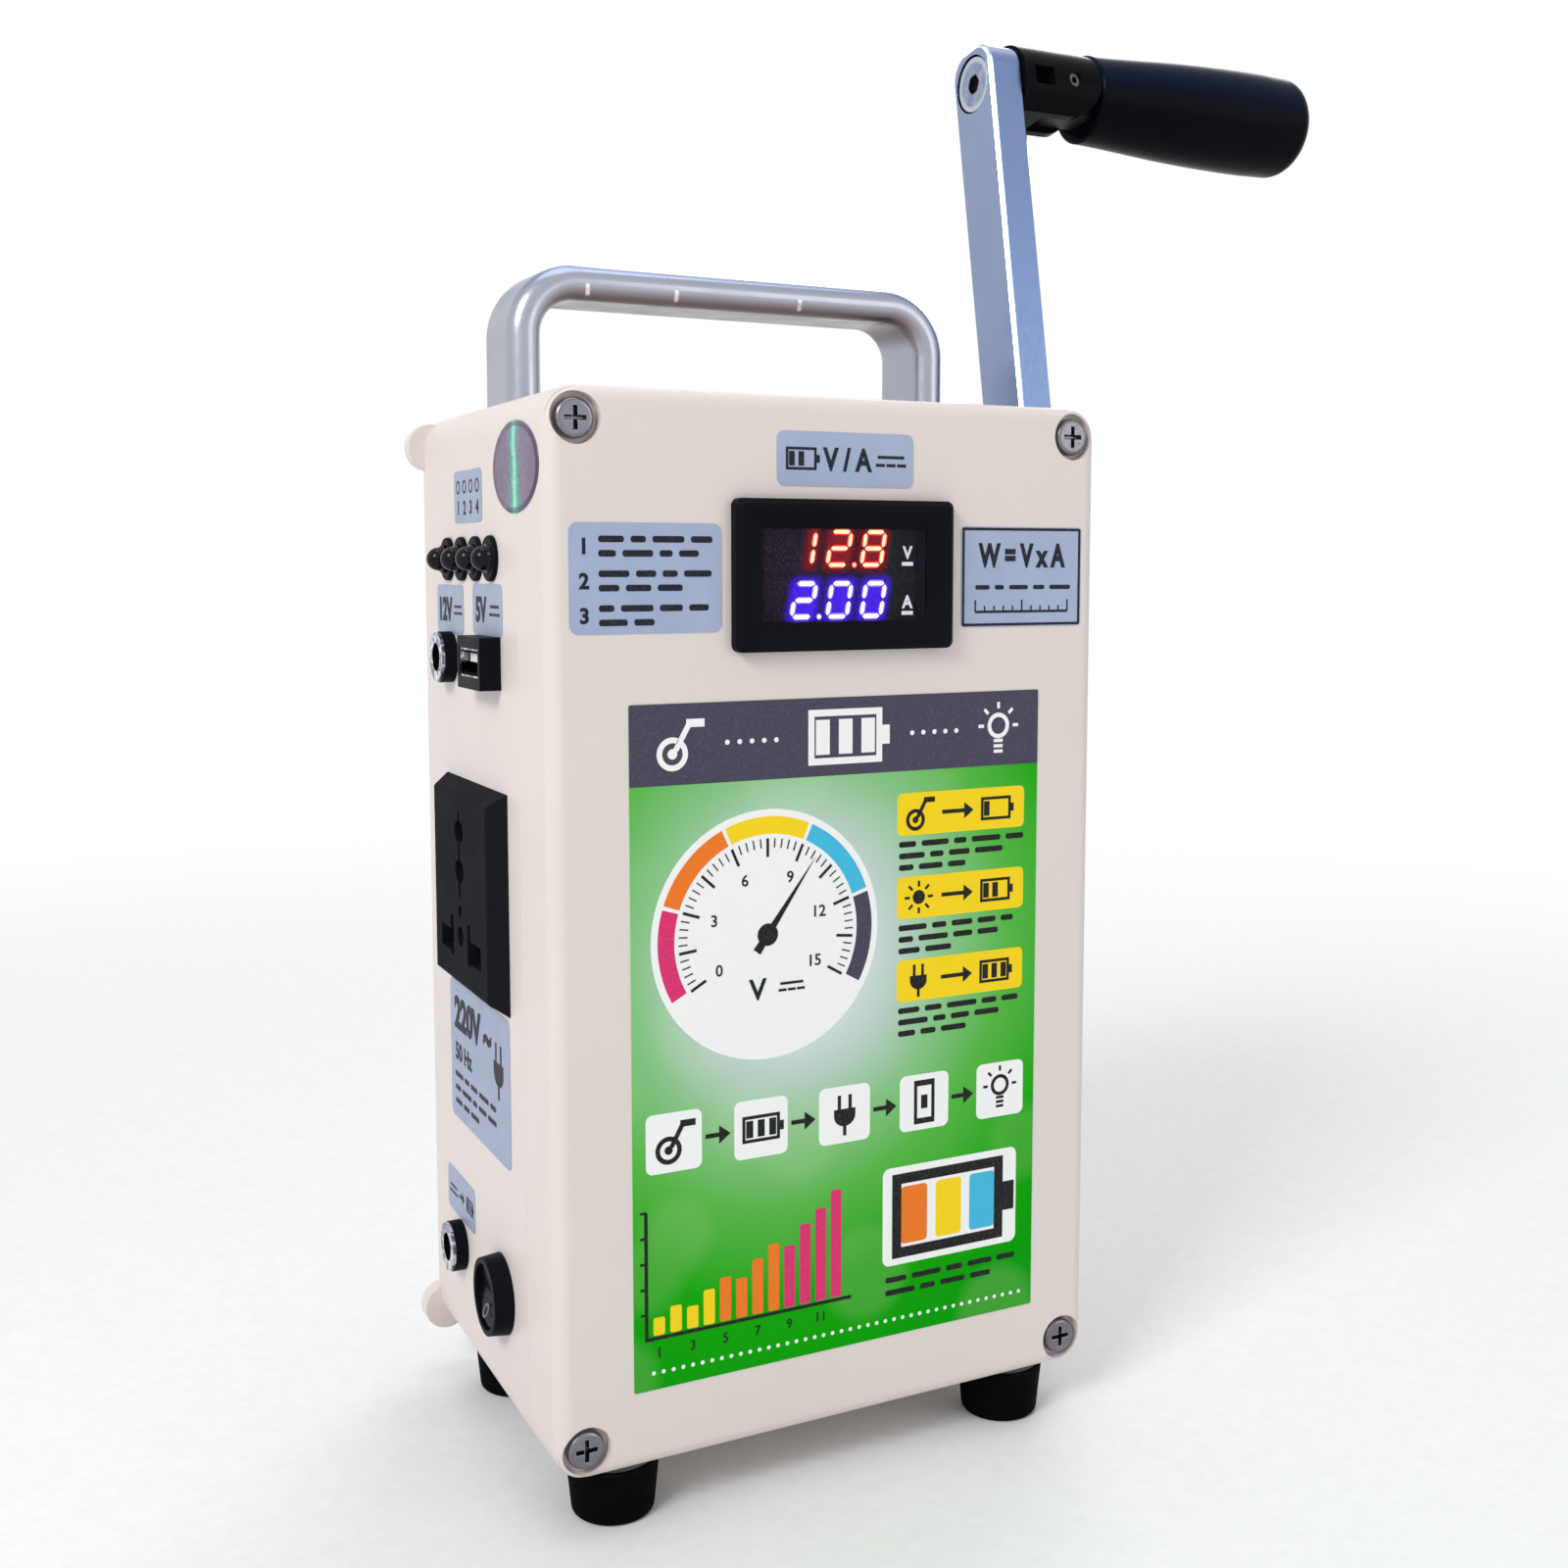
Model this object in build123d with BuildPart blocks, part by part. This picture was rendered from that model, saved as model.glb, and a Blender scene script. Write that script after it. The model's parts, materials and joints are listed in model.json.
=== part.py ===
from build123d import *
import os
from math import acos, atan2, cos, degrees, pi, radians, sin, sqrt, tan

# Portable power box with a hand crank generator.  Millimetres.
# Frame: +Z up, the front panel faces -Y, the crank is on the +X side.
# The origin is the middle of the box's underside; the feet stand below it.

# ---------------------------------------------------------------- driving dimensions
# Enclosure
box_width = 121.0
box_depth = 87.0
box_height = 205.0
wall = 3.0
lid_depth = 15.7            # how far the lid reaches back from the front face
side_draft = 1.6            # how much each side wall leans in, from the seam to the back
corner_radius = 7.0         # corners of the box seen from the front
edge_radius = 3.0           # rounding of the front and back edges
rim_chamfer = 0.35          # on both parts where they meet
foot_height = 12.0

# Lid screws
screw_inset = 6.0           # screw axes from the outer faces
screw_recess_radius = 4.75
screw_recess_depth = 2.6
screw_head_radius = 3.75
screw_head_height = 2.2
screw_shank_radius = 1.9
screw_length = 26.0
post_radius = 4.2
lid_post_radius = 5.5
pilot_radius = 1.6

# Round pads at the corners of the back, with blind holes for wall screws
pad_radius = 5.0
pad_thickness = 4.0
pad_side_inset = 3.0
pad_above_bottom = 3.0
pad_below_top = 6.5
pad_hole_radius = 1.65
pad_hole_depth = 3.2

# Feet
foot_side_inset = 15.0
front_foot_inset = 10.5     # foot axes from the front and back faces
rear_foot_inset = 17.5
foot_top_radius = 9.25
foot_bottom_radius = 8.1
foot_edge_radius = 1.2
foot_tape = 0.8

# Carry handle, a flat bar bent to an arch
handle_span = 96.0          # between the two leg axes
handle_rise = 29.0          # top of the bar above the box
handle_y = 11.0
bar_thickness = 7.0
bar_depth = 19.5
bar_bend = 11.0             # bend radius on the bar's middle line
handle_screw_radius = 2.5
handle_screw_reach = 14.0   # into the leg
handle_screw_head = 3.8
handle_washer_radius = 4.3  # clear of the rounding inside the top corners
handle_washer_thickness = 1.2

# Panel meter
meter_width = 48.0
meter_height = 29.0
meter_lip = 3.0             # bezel in front of the lid
meter_body_width = 45.0
meter_body_height = 26.0
meter_body_depth = 16.0
meter_wall = 1.6
meter_middle = box_height - 34.3
window_width = 36.5
window_height = 17.8
window_recess = 1.6
window_slope = 3.3          # width of the slope round the window

# Left panel fittings; a place is (y, z)
lamp_count = 4
lamp_pitch = 10.45
lamp_middle_y = 4.9
lamp_height = box_height - 31.0
lamp_flange_radius = 4.5
lamp_flange = 1.0
lamp_body_radius = 3.7
lamp_body_depth = 9.0
lamp_lens_radius = 2.9
lamp_tip = 2.9

jack_radius = 5.4
jack_lip = 2.7
jack_ring = 0.7
jack_ring_radius = 5.2
jack_bore_radius = 3.2
jack_barrel_radius = 4.2
jack_depth = 13.0
jack_pin_radius = 1.0
jack_nut_radius = 5.6
output_jack_at = (20.3, box_height - 51.6)
charge_jack_at = (20.2, 24.9)

usb_width = 15.7
usb_height = 10.3
usb_lip = 4.3
usb_depth = 14.0
usb_shell_width = 13.1
usb_shell_height = 5.7
usb_shell_wall = 0.4
usb_at = (-8.0, box_height - 51.4)

socket_size = 44.0
socket_lip = 3.8
socket_bevel = 2.5
socket_body = 38.0
socket_depth = 21.0
socket_at = (3.2, box_height - 98.6)
slot_depth = 12.0

switch_radius = 8.2
switch_top_radius = 7.75
switch_lip = 4.0
switch_mouth_radius = 6.6
switch_body_radius = 7.4
switch_depth = 17.0
switch_at = (-10.5, 25.6)
rocker_radius = 6.0
rocker_above = 3.4
rocker_below = 2.0
rocker_valley = 1.6
rocker_pivot_radius = 0.8
rocker_pivot_height = 0.6
rocker_tilt = 10.0          # at rest, one half pressed in

# Crank
crank_radius = 120.0
crank_lean = 10.0           # the arm leans back by this angle at rest
shaft_y = -7.0
shaft_height = box_height - 38.3
shaft_radius = 5.0
arm_gap = 5.5               # from the side of the box to the arm
arm_width = 15.8
arm_thickness = 9.0
arm_end = 8.3               # past the handle bolt
arm_end_radius = 6.0
arm_hub_radius = 10.0
arm_chamfer = 0.8
arm_bore_radius = 4.0
boss_radius = 18.5          # boss of the side wall under the bearing flange
boss_proud = 0.5
flange_radius = 17.5
flange_thickness = 2.6
flange_hub_radius = 11.5
flange_screw_circle = 14.2
bearing_radius = 9.5
bearing_length = 6.0
bearing_pocket = 8.6        # from the flange's inner end
bearing_sunk = 2.0          # the bearing's outer end, below the flange's face
running = 0.05              # radial clearance of a shaft in its bearing
fit = 0.02                  # between pieces that seat in each other

# Fold-away handle
block_radius = 9.75
pin_from_arm = 13.7         # fold pin's axis from the arm's outer face
fold_radius = 7.6           # the block's rounding about the pin
fold_gap = 0.4
tongue_width = 7.8
tongue_radius = 6.0
slot_side = 0.1
pin_radius = 1.7
pin_bore = 0.75
insert_radius = 4.6
insert_length = 5.6
bolt_radius = 3.0
bolt_head_radius = 6.2
countersink_radius = 6.6
pocket_length = 5.4
pocket_height = 4.4
pocket_depth = 4.0
grip_length = 64.8
grip_neck_radius = 10.2
grip_belly_radius = 12.5
grip_end_radius = 4.5
spindle_radius = 4.0
spindle_length = 52.0
cap_radius = 7.6
cap_thickness = 3.0

# Gear train
coarse_module = 1.0
fine_module = 0.8
wheel_teeth = 60
pinion_teeth = 12
backlash = 0.16
pressure_angle = 20.0
idler_direction = -65.0     # from the crank shaft, in the YZ plane
rotor_direction = -90.0     # from the idler
plate_thickness = 2.0
outer_plate_x = box_width / 2 - 12.5
inner_plate_x = outer_plate_x - 21.0
drive_gear_x = outer_plate_x - 8.0
drive_gear_width = 6.0
fine_gear_x = inner_plate_x + 5.0
fine_gear_width = 4.0
pinion_width = 7.0
axle_radius = 3.0
spacer_radius = 3.5
plate_screw_radius = 1.8
generator_radius = 19.0
generator_length = 50.0
generator_wall = 1.5
rotor_shaft_radius = 2.5
rotor_radius = 12.5
magnet_thickness = 3.2

# Power store and boards
cell_radius = 9.2
cell_length = 65.0
cell_gap = 0.6
cell_rows = 3
cell_columns = 3
pack_middle_x = 12.5
pack_middle_y = 4.0
frame_thickness = 6.0
board = 1.6
board_width = 72.0
board_height = 96.0
board_at = (-15.0, box_height - 61.0)

# ---------------------------------------------------------------- worked out
box_top = box_height
box_middle = box_height / 2
front_face = -box_depth / 2
back_face = box_depth / 2
seam = front_face + lid_depth
base_depth = back_face - seam
side = box_width / 2
back_side = side - side_draft
draft_angle = degrees(atan2(side_draft, base_depth))
screw_x = side - screw_inset
screw_z = box_height / 2 - screw_inset
floor_inside = wall
ceiling_inside = box_top - wall
back_inside = back_face - wall
wall_along = wall * cos(radians(draft_angle))     # side wall, measured square to its face
post_end = seam + 20.0
board_y = back_inside - 5.5

lean = radians(crank_lean)
shaft_z = shaft_height
flange_face = side + boss_proud
bearing_end = flange_face + flange_thickness - bearing_sunk
flange_inner_end = bearing_end - bearing_pocket
arm_x = side + arm_gap
arm_outer_x = arm_x + arm_thickness
pin_x = arm_outer_x + pin_from_arm
grip_start_x = pin_x + fold_radius + fold_gap
grip_end_x = grip_start_x + grip_length
bolt_y = shaft_y + crank_radius * sin(lean)
bolt_z = shaft_z + crank_radius * cos(lean)

coarse_distance = coarse_module * (wheel_teeth + pinion_teeth) / 2
fine_distance = fine_module * (wheel_teeth + pinion_teeth) / 2
idler_y = shaft_y + coarse_distance * cos(radians(idler_direction))
idler_z = shaft_z + coarse_distance * sin(radians(idler_direction))
rotor_y = idler_y + fine_distance * cos(radians(rotor_direction))
rotor_z = idler_z + fine_distance * sin(radians(rotor_direction))

# Local frames.  Plane.XZ has X and Z as its axes and looks to -Y; Plane.YZ looks to +X.
left_wall = Plane(
    origin=(-side, seam, 0),
    x_dir=(-sin(radians(draft_angle)), -cos(radians(draft_angle)), 0),
    z_dir=(-cos(radians(draft_angle)), sin(radians(draft_angle)), 0),
)
arm_plane = Plane(
    origin=(arm_x, shaft_y, shaft_z),
    x_dir=(0, cos(lean), -sin(lean)),
    z_dir=(1, 0, 0),
)
# Along the handle: X of this plane runs out from the arm, Y along the arm to its tip.
handle_plane = Plane(
    origin=(pin_x, bolt_y, bolt_z),
    x_dir=(1, 0, 0),
    z_dir=(0, -cos(lean), sin(lean)),
)


def facing(y):
    """The plane across the box at this y, with X and Z as its axes."""
    return Plane.XZ.offset(-y)


def across(x, y=0.0, z=0.0):
    """The plane across the shafts at this x, with Y and Z as its axes."""
    return Plane((x, y, z), x_dir=(0, 1, 0), z_dir=(1, 0, 0))


def on_wall(at):
    """A fitting's (y, height) as a point of the left wall's plane."""
    y, height = at
    return (seam - y, height)


def involute(angle):
    return tan(angle) - angle


def gear_outline(teeth, module, tooth_at):
    """Corner points of a spur gear whose first tooth points at tooth_at degrees."""
    pitch = teeth * module / 2
    base = pitch * cos(radians(pressure_angle))
    tip = pitch + 0.85 * module
    root = pitch - 1.1 * module
    half_tooth = (pi * module / 2 - backlash) / (2 * pitch)

    def half_angle(radius):
        slope = acos(min(1.0, base / max(radius, base)))
        return half_tooth + involute(radians(pressure_angle)) - involute(slope)

    flank = [(root, half_angle(base)), (max(pitch - 0.3 * module, base), None)]
    flank += [(pitch + 0.3 * module, None), (tip, None)]
    flank = [(r, half_angle(r) if angle is None else angle) for r, angle in flank]
    points = []
    for tooth in range(teeth):
        middle = radians(tooth_at) + 2 * pi * tooth / teeth
        sides = [(r, -angle) for r, angle in flank] + [(r, angle) for r, angle in reversed(flank)]
        points += [(r * cos(middle + angle), r * sin(middle + angle)) for r, angle in sides]
    return points


def spur_gear(teeth, module, tooth_at):
    """A whole gear, added to the sketch that calls this."""
    Polygon(*gear_outline(teeth, module, tooth_at), align=None)


lamp_places = [
    on_wall((lamp_middle_y + lamp_pitch * (i - (lamp_count - 1) / 2), lamp_height))
    for i in range(lamp_count)
]
jack_places = [on_wall(output_jack_at), on_wall(charge_jack_at)]
foot_places = [(sx * (side - foot_side_inset), y) for sx in (-1, 1)
               for y in (front_face + front_foot_inset, back_face - rear_foot_inset)]
pad_places = [(sx * (side - pad_side_inset), z) for sx in (-1, 1)
              for z in (pad_above_bottom, box_top - pad_below_top)]
plate_top = shaft_z + 25.8
plate_bottom = rotor_z - 21.8
plate_front = shaft_y - 32.4
plate_back = shaft_y + 40.6
plate_screws = [(plate_front + 4.4, plate_top - 4.5), (plate_back - 4.6, plate_top - 4.5),
                (plate_back - 4.6, plate_bottom + 4.5), (rotor_y - 23.2, plate_bottom + 4.5)]

# ---------------------------------------------------------------- enclosure
with BuildPart() as base_shell:
    # seen from above, the side walls lean in towards the back
    with BuildSketch(Plane.XY):
        with BuildLine():
            Polyline((-side, seam), (side, seam), (back_side, back_face),
                     (-back_side, back_face), close=True)
        make_face()
    extrude(amount=box_height)
    fillet(base_shell.edges().filter_by(Axis.X, reverse=True).filter_by(Axis.Z, reverse=True),
           corner_radius)
    offset(amount=-wall, openings=base_shell.faces().sort_by(Axis.Y)[0])
    fillet(base_shell.faces().sort_by(Axis.Y)[-1].edges(), edge_radius)
    chamfer(base_shell.faces().sort_by(Axis.Y)[0].outer_wire().edges(), rim_chamfer)
    with BuildSketch(facing(back_face - pad_thickness)):
        with Locations(*pad_places):
            Circle(pad_radius)
    extrude(amount=-pad_thickness)
    # round boss for the crank shaft, thicker than the wall on both faces
    with BuildSketch(across(side - 2 * wall, shaft_y, shaft_z)):
        Circle(boss_radius)
    extrude(amount=2 * wall + boss_proud)
    # posts for the lid screws, and the bosses that the gearbox and the board stand on
    with BuildSketch(facing(seam)):
        with Locations((0, box_middle)):
            with GridLocations(2 * screw_x, 2 * screw_z, 2, 2):
                Circle(post_radius)
    extrude(amount=-(post_end - seam))
    with BuildSketch(across(outer_plate_x + plate_thickness)):
        with Locations(*plate_screws[1:]):
            Circle(4.5)
    extrude(amount=side - wall / 2 - outer_plate_x - plate_thickness - side_draft)
    with BuildSketch(facing(board_y)):
        with Locations(board_at):
            with GridLocations(board_width - 10, board_height - 10, 2, 2):
                Circle(3.5)
    extrude(amount=-(back_inside - board_y + 1))
    # holes: lid screws, wall pads, handle screws, shaft, gearbox screws
    with BuildSketch(facing(seam)):
        with Locations((0, box_middle)):
            with GridLocations(2 * screw_x, 2 * screw_z, 2, 2):
                Circle(pilot_radius)
    extrude(amount=-(screw_length - lid_depth + 2), mode=Mode.SUBTRACT)
    with BuildSketch(facing(back_face)):
        with Locations(*pad_places):
            Circle(pad_hole_radius)
    extrude(amount=pad_hole_depth, mode=Mode.SUBTRACT)
    with BuildSketch(Plane.XY.offset(box_top)):
        with Locations((0, handle_y)):
            with GridLocations(handle_span, 1, 2, 1):
                Circle(handle_screw_radius + 0.25)
    extrude(amount=-wall, mode=Mode.SUBTRACT)
    with BuildSketch(across(side + 2, shaft_y, shaft_z)):
        Circle(flange_hub_radius + fit)
        with PolarLocations(flange_screw_circle, 3, start_angle=90):
            Circle(1.25)
    extrude(amount=-14, mode=Mode.SUBTRACT)
    with BuildSketch(across(outer_plate_x + plate_thickness)):
        with Locations(*plate_screws[1:]):
            Circle(plate_screw_radius - 0.3)
    extrude(amount=5, mode=Mode.SUBTRACT)
    # holes of the left panel
    with BuildSketch(left_wall.offset(1)):
        with Locations(*lamp_places):
            Circle(lamp_body_radius + 0.1)
        with Locations(*jack_places):
            Circle(jack_barrel_radius + 0.1)
        with Locations(on_wall(usb_at)):
            Rectangle(usb_width - 0.8, usb_height - 0.8)
        with Locations(on_wall(socket_at)):
            Rectangle(socket_body + 0.4, socket_body + 0.4)
        with Locations(on_wall(switch_at)):
            Circle(switch_body_radius + 0.1)
    extrude(amount=-(wall + 3), mode=Mode.SUBTRACT)

with BuildPart() as lid:
    with BuildSketch(facing(seam)):
        with Locations((0, box_middle)):
            RectangleRounded(box_width, box_height, corner_radius)
    extrude(amount=lid_depth)
    fillet(lid.faces().sort_by(Axis.Y)[0].edges(), edge_radius)
    chamfer(lid.faces().sort_by(Axis.Y)[-1].edges(), rim_chamfer)
    with BuildSketch(facing(seam)):
        with Locations((0, box_middle)):
            RectangleRounded(box_width - 2 * wall, box_height - 2 * wall, corner_radius - wall)
    extrude(amount=lid_depth - wall, mode=Mode.SUBTRACT)
    with BuildSketch(facing(seam)):
        with Locations((0, box_middle)):
            with GridLocations(2 * screw_x, 2 * screw_z, 2, 2):
                Circle(lid_post_radius)
    extrude(amount=lid_depth - wall / 2)
    # groove for the seal, in the rim and round the inner side of the posts
    with BuildSketch(facing(seam)):
        with Locations((0, box_middle)):
            RectangleRounded(box_width - 2.0, box_height - 2.0, corner_radius - 1.0)
            RectangleRounded(box_width - 5.2, box_height - 5.2, corner_radius - 2.6,
                             mode=Mode.SUBTRACT)
    extrude(amount=1.4, mode=Mode.SUBTRACT)
    with BuildSketch(facing(seam)):
        with Locations((0, box_middle)):
            with GridLocations(2 * screw_x, 2 * screw_z, 2, 2):
                Circle(screw_shank_radius + 0.3)
    extrude(amount=lid_depth, mode=Mode.SUBTRACT)
    with BuildSketch(facing(front_face)):
        with Locations((0, box_middle)):
            with GridLocations(2 * screw_x, 2 * screw_z, 2, 2):
                Circle(screw_recess_radius)
    extrude(amount=-screw_recess_depth, mode=Mode.SUBTRACT)
    with BuildSketch(facing(front_face)):
        with Locations((0, meter_middle)):
            Rectangle(meter_body_width + 0.4, meter_body_height + 0.4)
    extrude(amount=-wall, mode=Mode.SUBTRACT)

with BuildPart() as lid_gasket:
    with BuildSketch(facing(seam)):
        with Locations((0, box_middle)):
            RectangleRounded(box_width - 2.2, box_height - 2.2, corner_radius - 1.1)
            RectangleRounded(box_width - 5.0, box_height - 5.0, corner_radius - 2.5,
                             mode=Mode.SUBTRACT)
            with GridLocations(2 * screw_x, 2 * screw_z, 2, 2):
                Circle(screw_shank_radius + 0.3, mode=Mode.SUBTRACT)
    extrude(amount=1.3)

with BuildPart() as lid_screws:
    with BuildSketch(facing(front_face + screw_recess_depth)):
        with Locations((0, box_middle)):
            with GridLocations(2 * screw_x, 2 * screw_z, 2, 2):
                Circle(screw_head_radius)
    extrude(amount=screw_head_height)
    fillet(lid_screws.edges().group_by(Axis.Y)[0], 0.9)
    with BuildSketch(facing(front_face + screw_recess_depth)):
        with Locations((0, box_middle)):
            with GridLocations(2 * screw_x, 2 * screw_z, 2, 2):
                Circle(screw_shank_radius)
    extrude(amount=-(lid_depth - screw_recess_depth))
    with BuildSketch(facing(seam)):
        with Locations((0, box_middle)):
            with GridLocations(2 * screw_x, 2 * screw_z, 2, 2):
                Circle(pilot_radius - fit)
    extrude(amount=-(screw_length - lid_depth))
    # cross recess
    with BuildSketch(facing(front_face + screw_recess_depth - screw_head_height)):
        with Locations((0, box_middle)):
            with GridLocations(2 * screw_x, 2 * screw_z, 2, 2):
                Rectangle(4.4, 0.95)
                Rectangle(0.95, 4.4)
    extrude(amount=-1.5, taper=12, mode=Mode.SUBTRACT)

with BuildPart() as foot_tape_discs:
    with BuildSketch(Plane.XY):
        with Locations(*foot_places):
            Circle(foot_top_radius - 0.8)
    extrude(amount=-foot_tape)

with BuildPart() as rubber_feet:
    with BuildSketch(Plane.XY.offset(-foot_tape)):
        with Locations(*foot_places):
            Circle(foot_top_radius)
    extrude(amount=-(foot_height - foot_tape),
            taper=degrees(atan2(foot_top_radius - foot_bottom_radius, foot_height - foot_tape)))
    fillet(rubber_feet.edges().group_by(Axis.Z)[0], foot_edge_radius)

# ---------------------------------------------------------------- carry handle
with BuildPart() as carry_handle:
    leg_x = handle_span / 2
    bar_z = box_top + handle_rise - bar_thickness / 2
    with BuildLine(facing(handle_y)) as arch:
        FilletPolyline((-leg_x, box_top), (-leg_x, bar_z), (leg_x, bar_z), (leg_x, box_top),
                       radius=bar_bend)
    with BuildSketch(Plane((-leg_x, handle_y, box_top), x_dir=(0, 1, 0), z_dir=(0, 0, 1))):
        SlotOverall(bar_depth, bar_thickness)
    sweep(path=arch.line)
    with BuildSketch(Plane.XY.offset(box_top)):
        with Locations((0, handle_y)):
            with GridLocations(handle_span, 1, 2, 1):
                Circle(handle_screw_radius)
    extrude(amount=handle_screw_reach, mode=Mode.SUBTRACT)

with BuildPart() as handle_washers:
    with BuildSketch(Plane.XY.offset(ceiling_inside)):
        with Locations((0, handle_y)):
            with GridLocations(handle_span, 1, 2, 1):
                Circle(handle_washer_radius)
                Circle(handle_screw_radius + 0.2, mode=Mode.SUBTRACT)
    extrude(amount=-handle_washer_thickness)

with BuildPart() as handle_screws:
    under_washer = ceiling_inside - handle_washer_thickness
    with BuildSketch(Plane.XY.offset(under_washer)):
        with Locations((0, handle_y)):
            with GridLocations(handle_span, 1, 2, 1):
                Circle(handle_screw_radius - fit)
    extrude(amount=box_top - under_washer + handle_screw_reach - 1)
    with BuildSketch(Plane.XY.offset(under_washer)):
        with Locations((0, handle_y)):
            with GridLocations(handle_span, 1, 2, 1):
                Circle(handle_screw_head)
    extrude(amount=-3.2)
    fillet(handle_screws.edges().group_by(Axis.Z)[0], 1.2)

# ---------------------------------------------------------------- panel meter
with BuildPart() as meter_bezel:
    with BuildSketch(facing(front_face)):
        with Locations((0, meter_middle)):
            RectangleRounded(meter_width, meter_height, 1.5)
    extrude(amount=meter_lip)
    chamfer(meter_bezel.faces().sort_by(Axis.Y)[0].edges(), 1.0)
    with BuildSketch(facing(front_face)):
        with Locations((0, meter_middle)):
            Rectangle(meter_body_width, meter_body_height)
    extrude(amount=-meter_body_depth)
    with BuildSketch(facing(front_face + meter_body_depth)):
        with Locations((0, meter_middle)):
            Rectangle(meter_body_width - 2 * meter_wall, meter_body_height - 2 * meter_wall)
    extrude(amount=meter_body_depth + meter_lip - window_recess - 1.4, mode=Mode.SUBTRACT)
    with BuildSketch(facing(front_face - meter_lip)):
        with Locations((0, meter_middle)):
            Rectangle(window_width, window_height)
    extrude(amount=-meter_lip - 2, mode=Mode.SUBTRACT)
    # the face slopes in to the window like a picture frame
    slope_depth = window_recess - 0.2
    with BuildSketch(facing(front_face - meter_lip)):
        with Locations((0, meter_middle)):
            Rectangle(window_width + 2 * window_slope, window_height + 2 * window_slope)
    extrude(amount=-slope_depth, taper=degrees(atan2(window_slope, slope_depth)),
            mode=Mode.SUBTRACT)

window_y = front_face - meter_lip + window_recess + 1.4
with BuildPart() as meter_window:
    with BuildSketch(facing(window_y)):
        with Locations((0, meter_middle)):
            Rectangle(window_width - 0.1, window_height - 0.1)
    extrude(amount=1.2)
    with BuildSketch(facing(window_y)):
        with Locations((0, meter_middle)):
            Rectangle(meter_body_width - 2 * meter_wall - 0.2, meter_body_height - 2 * meter_wall - 0.2)
    extrude(amount=-1.0)

with BuildPart() as meter_digit_blocks:
    with BuildSketch(facing(window_y + 1.0 + 0.1)):
        with Locations((-3, meter_middle + 4.7), (-3, meter_middle - 4.7)):
            Rectangle(27, 8.6)
    extrude(amount=-6.0)

with BuildPart() as meter_board:
    with BuildSketch(facing(window_y + 7.1)):
        with Locations((0, meter_middle)):
            Rectangle(meter_body_width - 2 * meter_wall - 0.2, meter_body_height - 2 * meter_wall - 0.2)
    extrude(amount=-board)

# ---------------------------------------------------------------- left panel: lamps
with BuildPart() as lamp_holders:
    with BuildSketch(left_wall):
        with Locations(*lamp_places):
            Circle(lamp_flange_radius)
    extrude(amount=lamp_flange)
    fillet(lamp_holders.edges().group_by(Axis(left_wall.origin, left_wall.z_dir))[-1], 0.4)
    with BuildSketch(left_wall.offset(-lamp_body_depth)):
        with Locations(*lamp_places):
            Circle(lamp_body_radius)
    extrude(amount=lamp_body_depth + lamp_flange)
    with BuildSketch(left_wall.offset(-lamp_body_depth)):
        with Locations(*lamp_places):
            Circle(lamp_lens_radius + fit)
    extrude(amount=lamp_body_depth + lamp_flange, mode=Mode.SUBTRACT)

with BuildPart() as lamp_lenses:
    with BuildSketch(left_wall.offset(-lamp_body_depth + 1)):
        with Locations(*lamp_places):
            Circle(lamp_lens_radius)
    extrude(amount=lamp_body_depth - 1 + lamp_tip)
    fillet(lamp_lenses.edges().group_by(Axis(left_wall.origin, left_wall.z_dir))[-1],
           lamp_lens_radius - 0.15)

with BuildPart() as lamp_board:
    with BuildSketch(left_wall.offset(-lamp_body_depth)):
        with Locations(on_wall((lamp_middle_y, lamp_height))):
            Rectangle(lamp_pitch * lamp_count + 2, 12)
    extrude(amount=-board)

# ---------------------------------------------------------------- left panel: jacks and ports
with BuildPart() as jack_bodies:
    with BuildSketch(left_wall):
        with Locations(*jack_places):
            Circle(jack_radius)
    extrude(amount=jack_lip)
    with BuildSketch(left_wall.offset(-jack_depth)):
        with Locations(*jack_places):
            Circle(jack_barrel_radius)
    extrude(amount=jack_depth + jack_lip)
    with BuildSketch(left_wall.offset(-jack_depth + 3)):
        with Locations(*jack_places):
            Circle(jack_bore_radius)
    extrude(amount=jack_depth + jack_lip, mode=Mode.SUBTRACT)

with BuildPart() as jack_rings:
    with BuildSketch(left_wall.offset(jack_lip)):
        with Locations(*jack_places):
            Circle(jack_ring_radius)
            Circle(jack_bore_radius - 0.2, mode=Mode.SUBTRACT)
    extrude(amount=jack_ring)

with BuildPart() as jack_pins:
    with BuildSketch(left_wall.offset(-jack_depth + 3)):
        with Locations(*jack_places):
            Circle(jack_pin_radius)
    extrude(amount=jack_depth - 3 + jack_lip - 1)

with BuildPart() as jack_nuts:
    with BuildSketch(left_wall.offset(-wall_along)):
        with Locations(*jack_places):
            RegularPolygon(jack_nut_radius, 6)
            Circle(jack_barrel_radius + fit, mode=Mode.SUBTRACT)
    extrude(amount=-2.2)

with BuildPart() as usb_housing:
    with BuildSketch(left_wall):
        with Locations(on_wall(usb_at)):
            Rectangle(usb_width, usb_height)
    extrude(amount=usb_lip)
    with BuildSketch(left_wall.offset(-usb_depth)):
        with Locations(on_wall(usb_at)):
            Rectangle(usb_width - 1.0, usb_height - 1.0)
    extrude(amount=usb_depth)
    with BuildSketch(left_wall.offset(-usb_depth + 2)):
        with Locations(on_wall(usb_at)):
            Rectangle(usb_shell_width, usb_shell_height)
    extrude(amount=usb_depth - 2 + usb_lip, mode=Mode.SUBTRACT)

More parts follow.
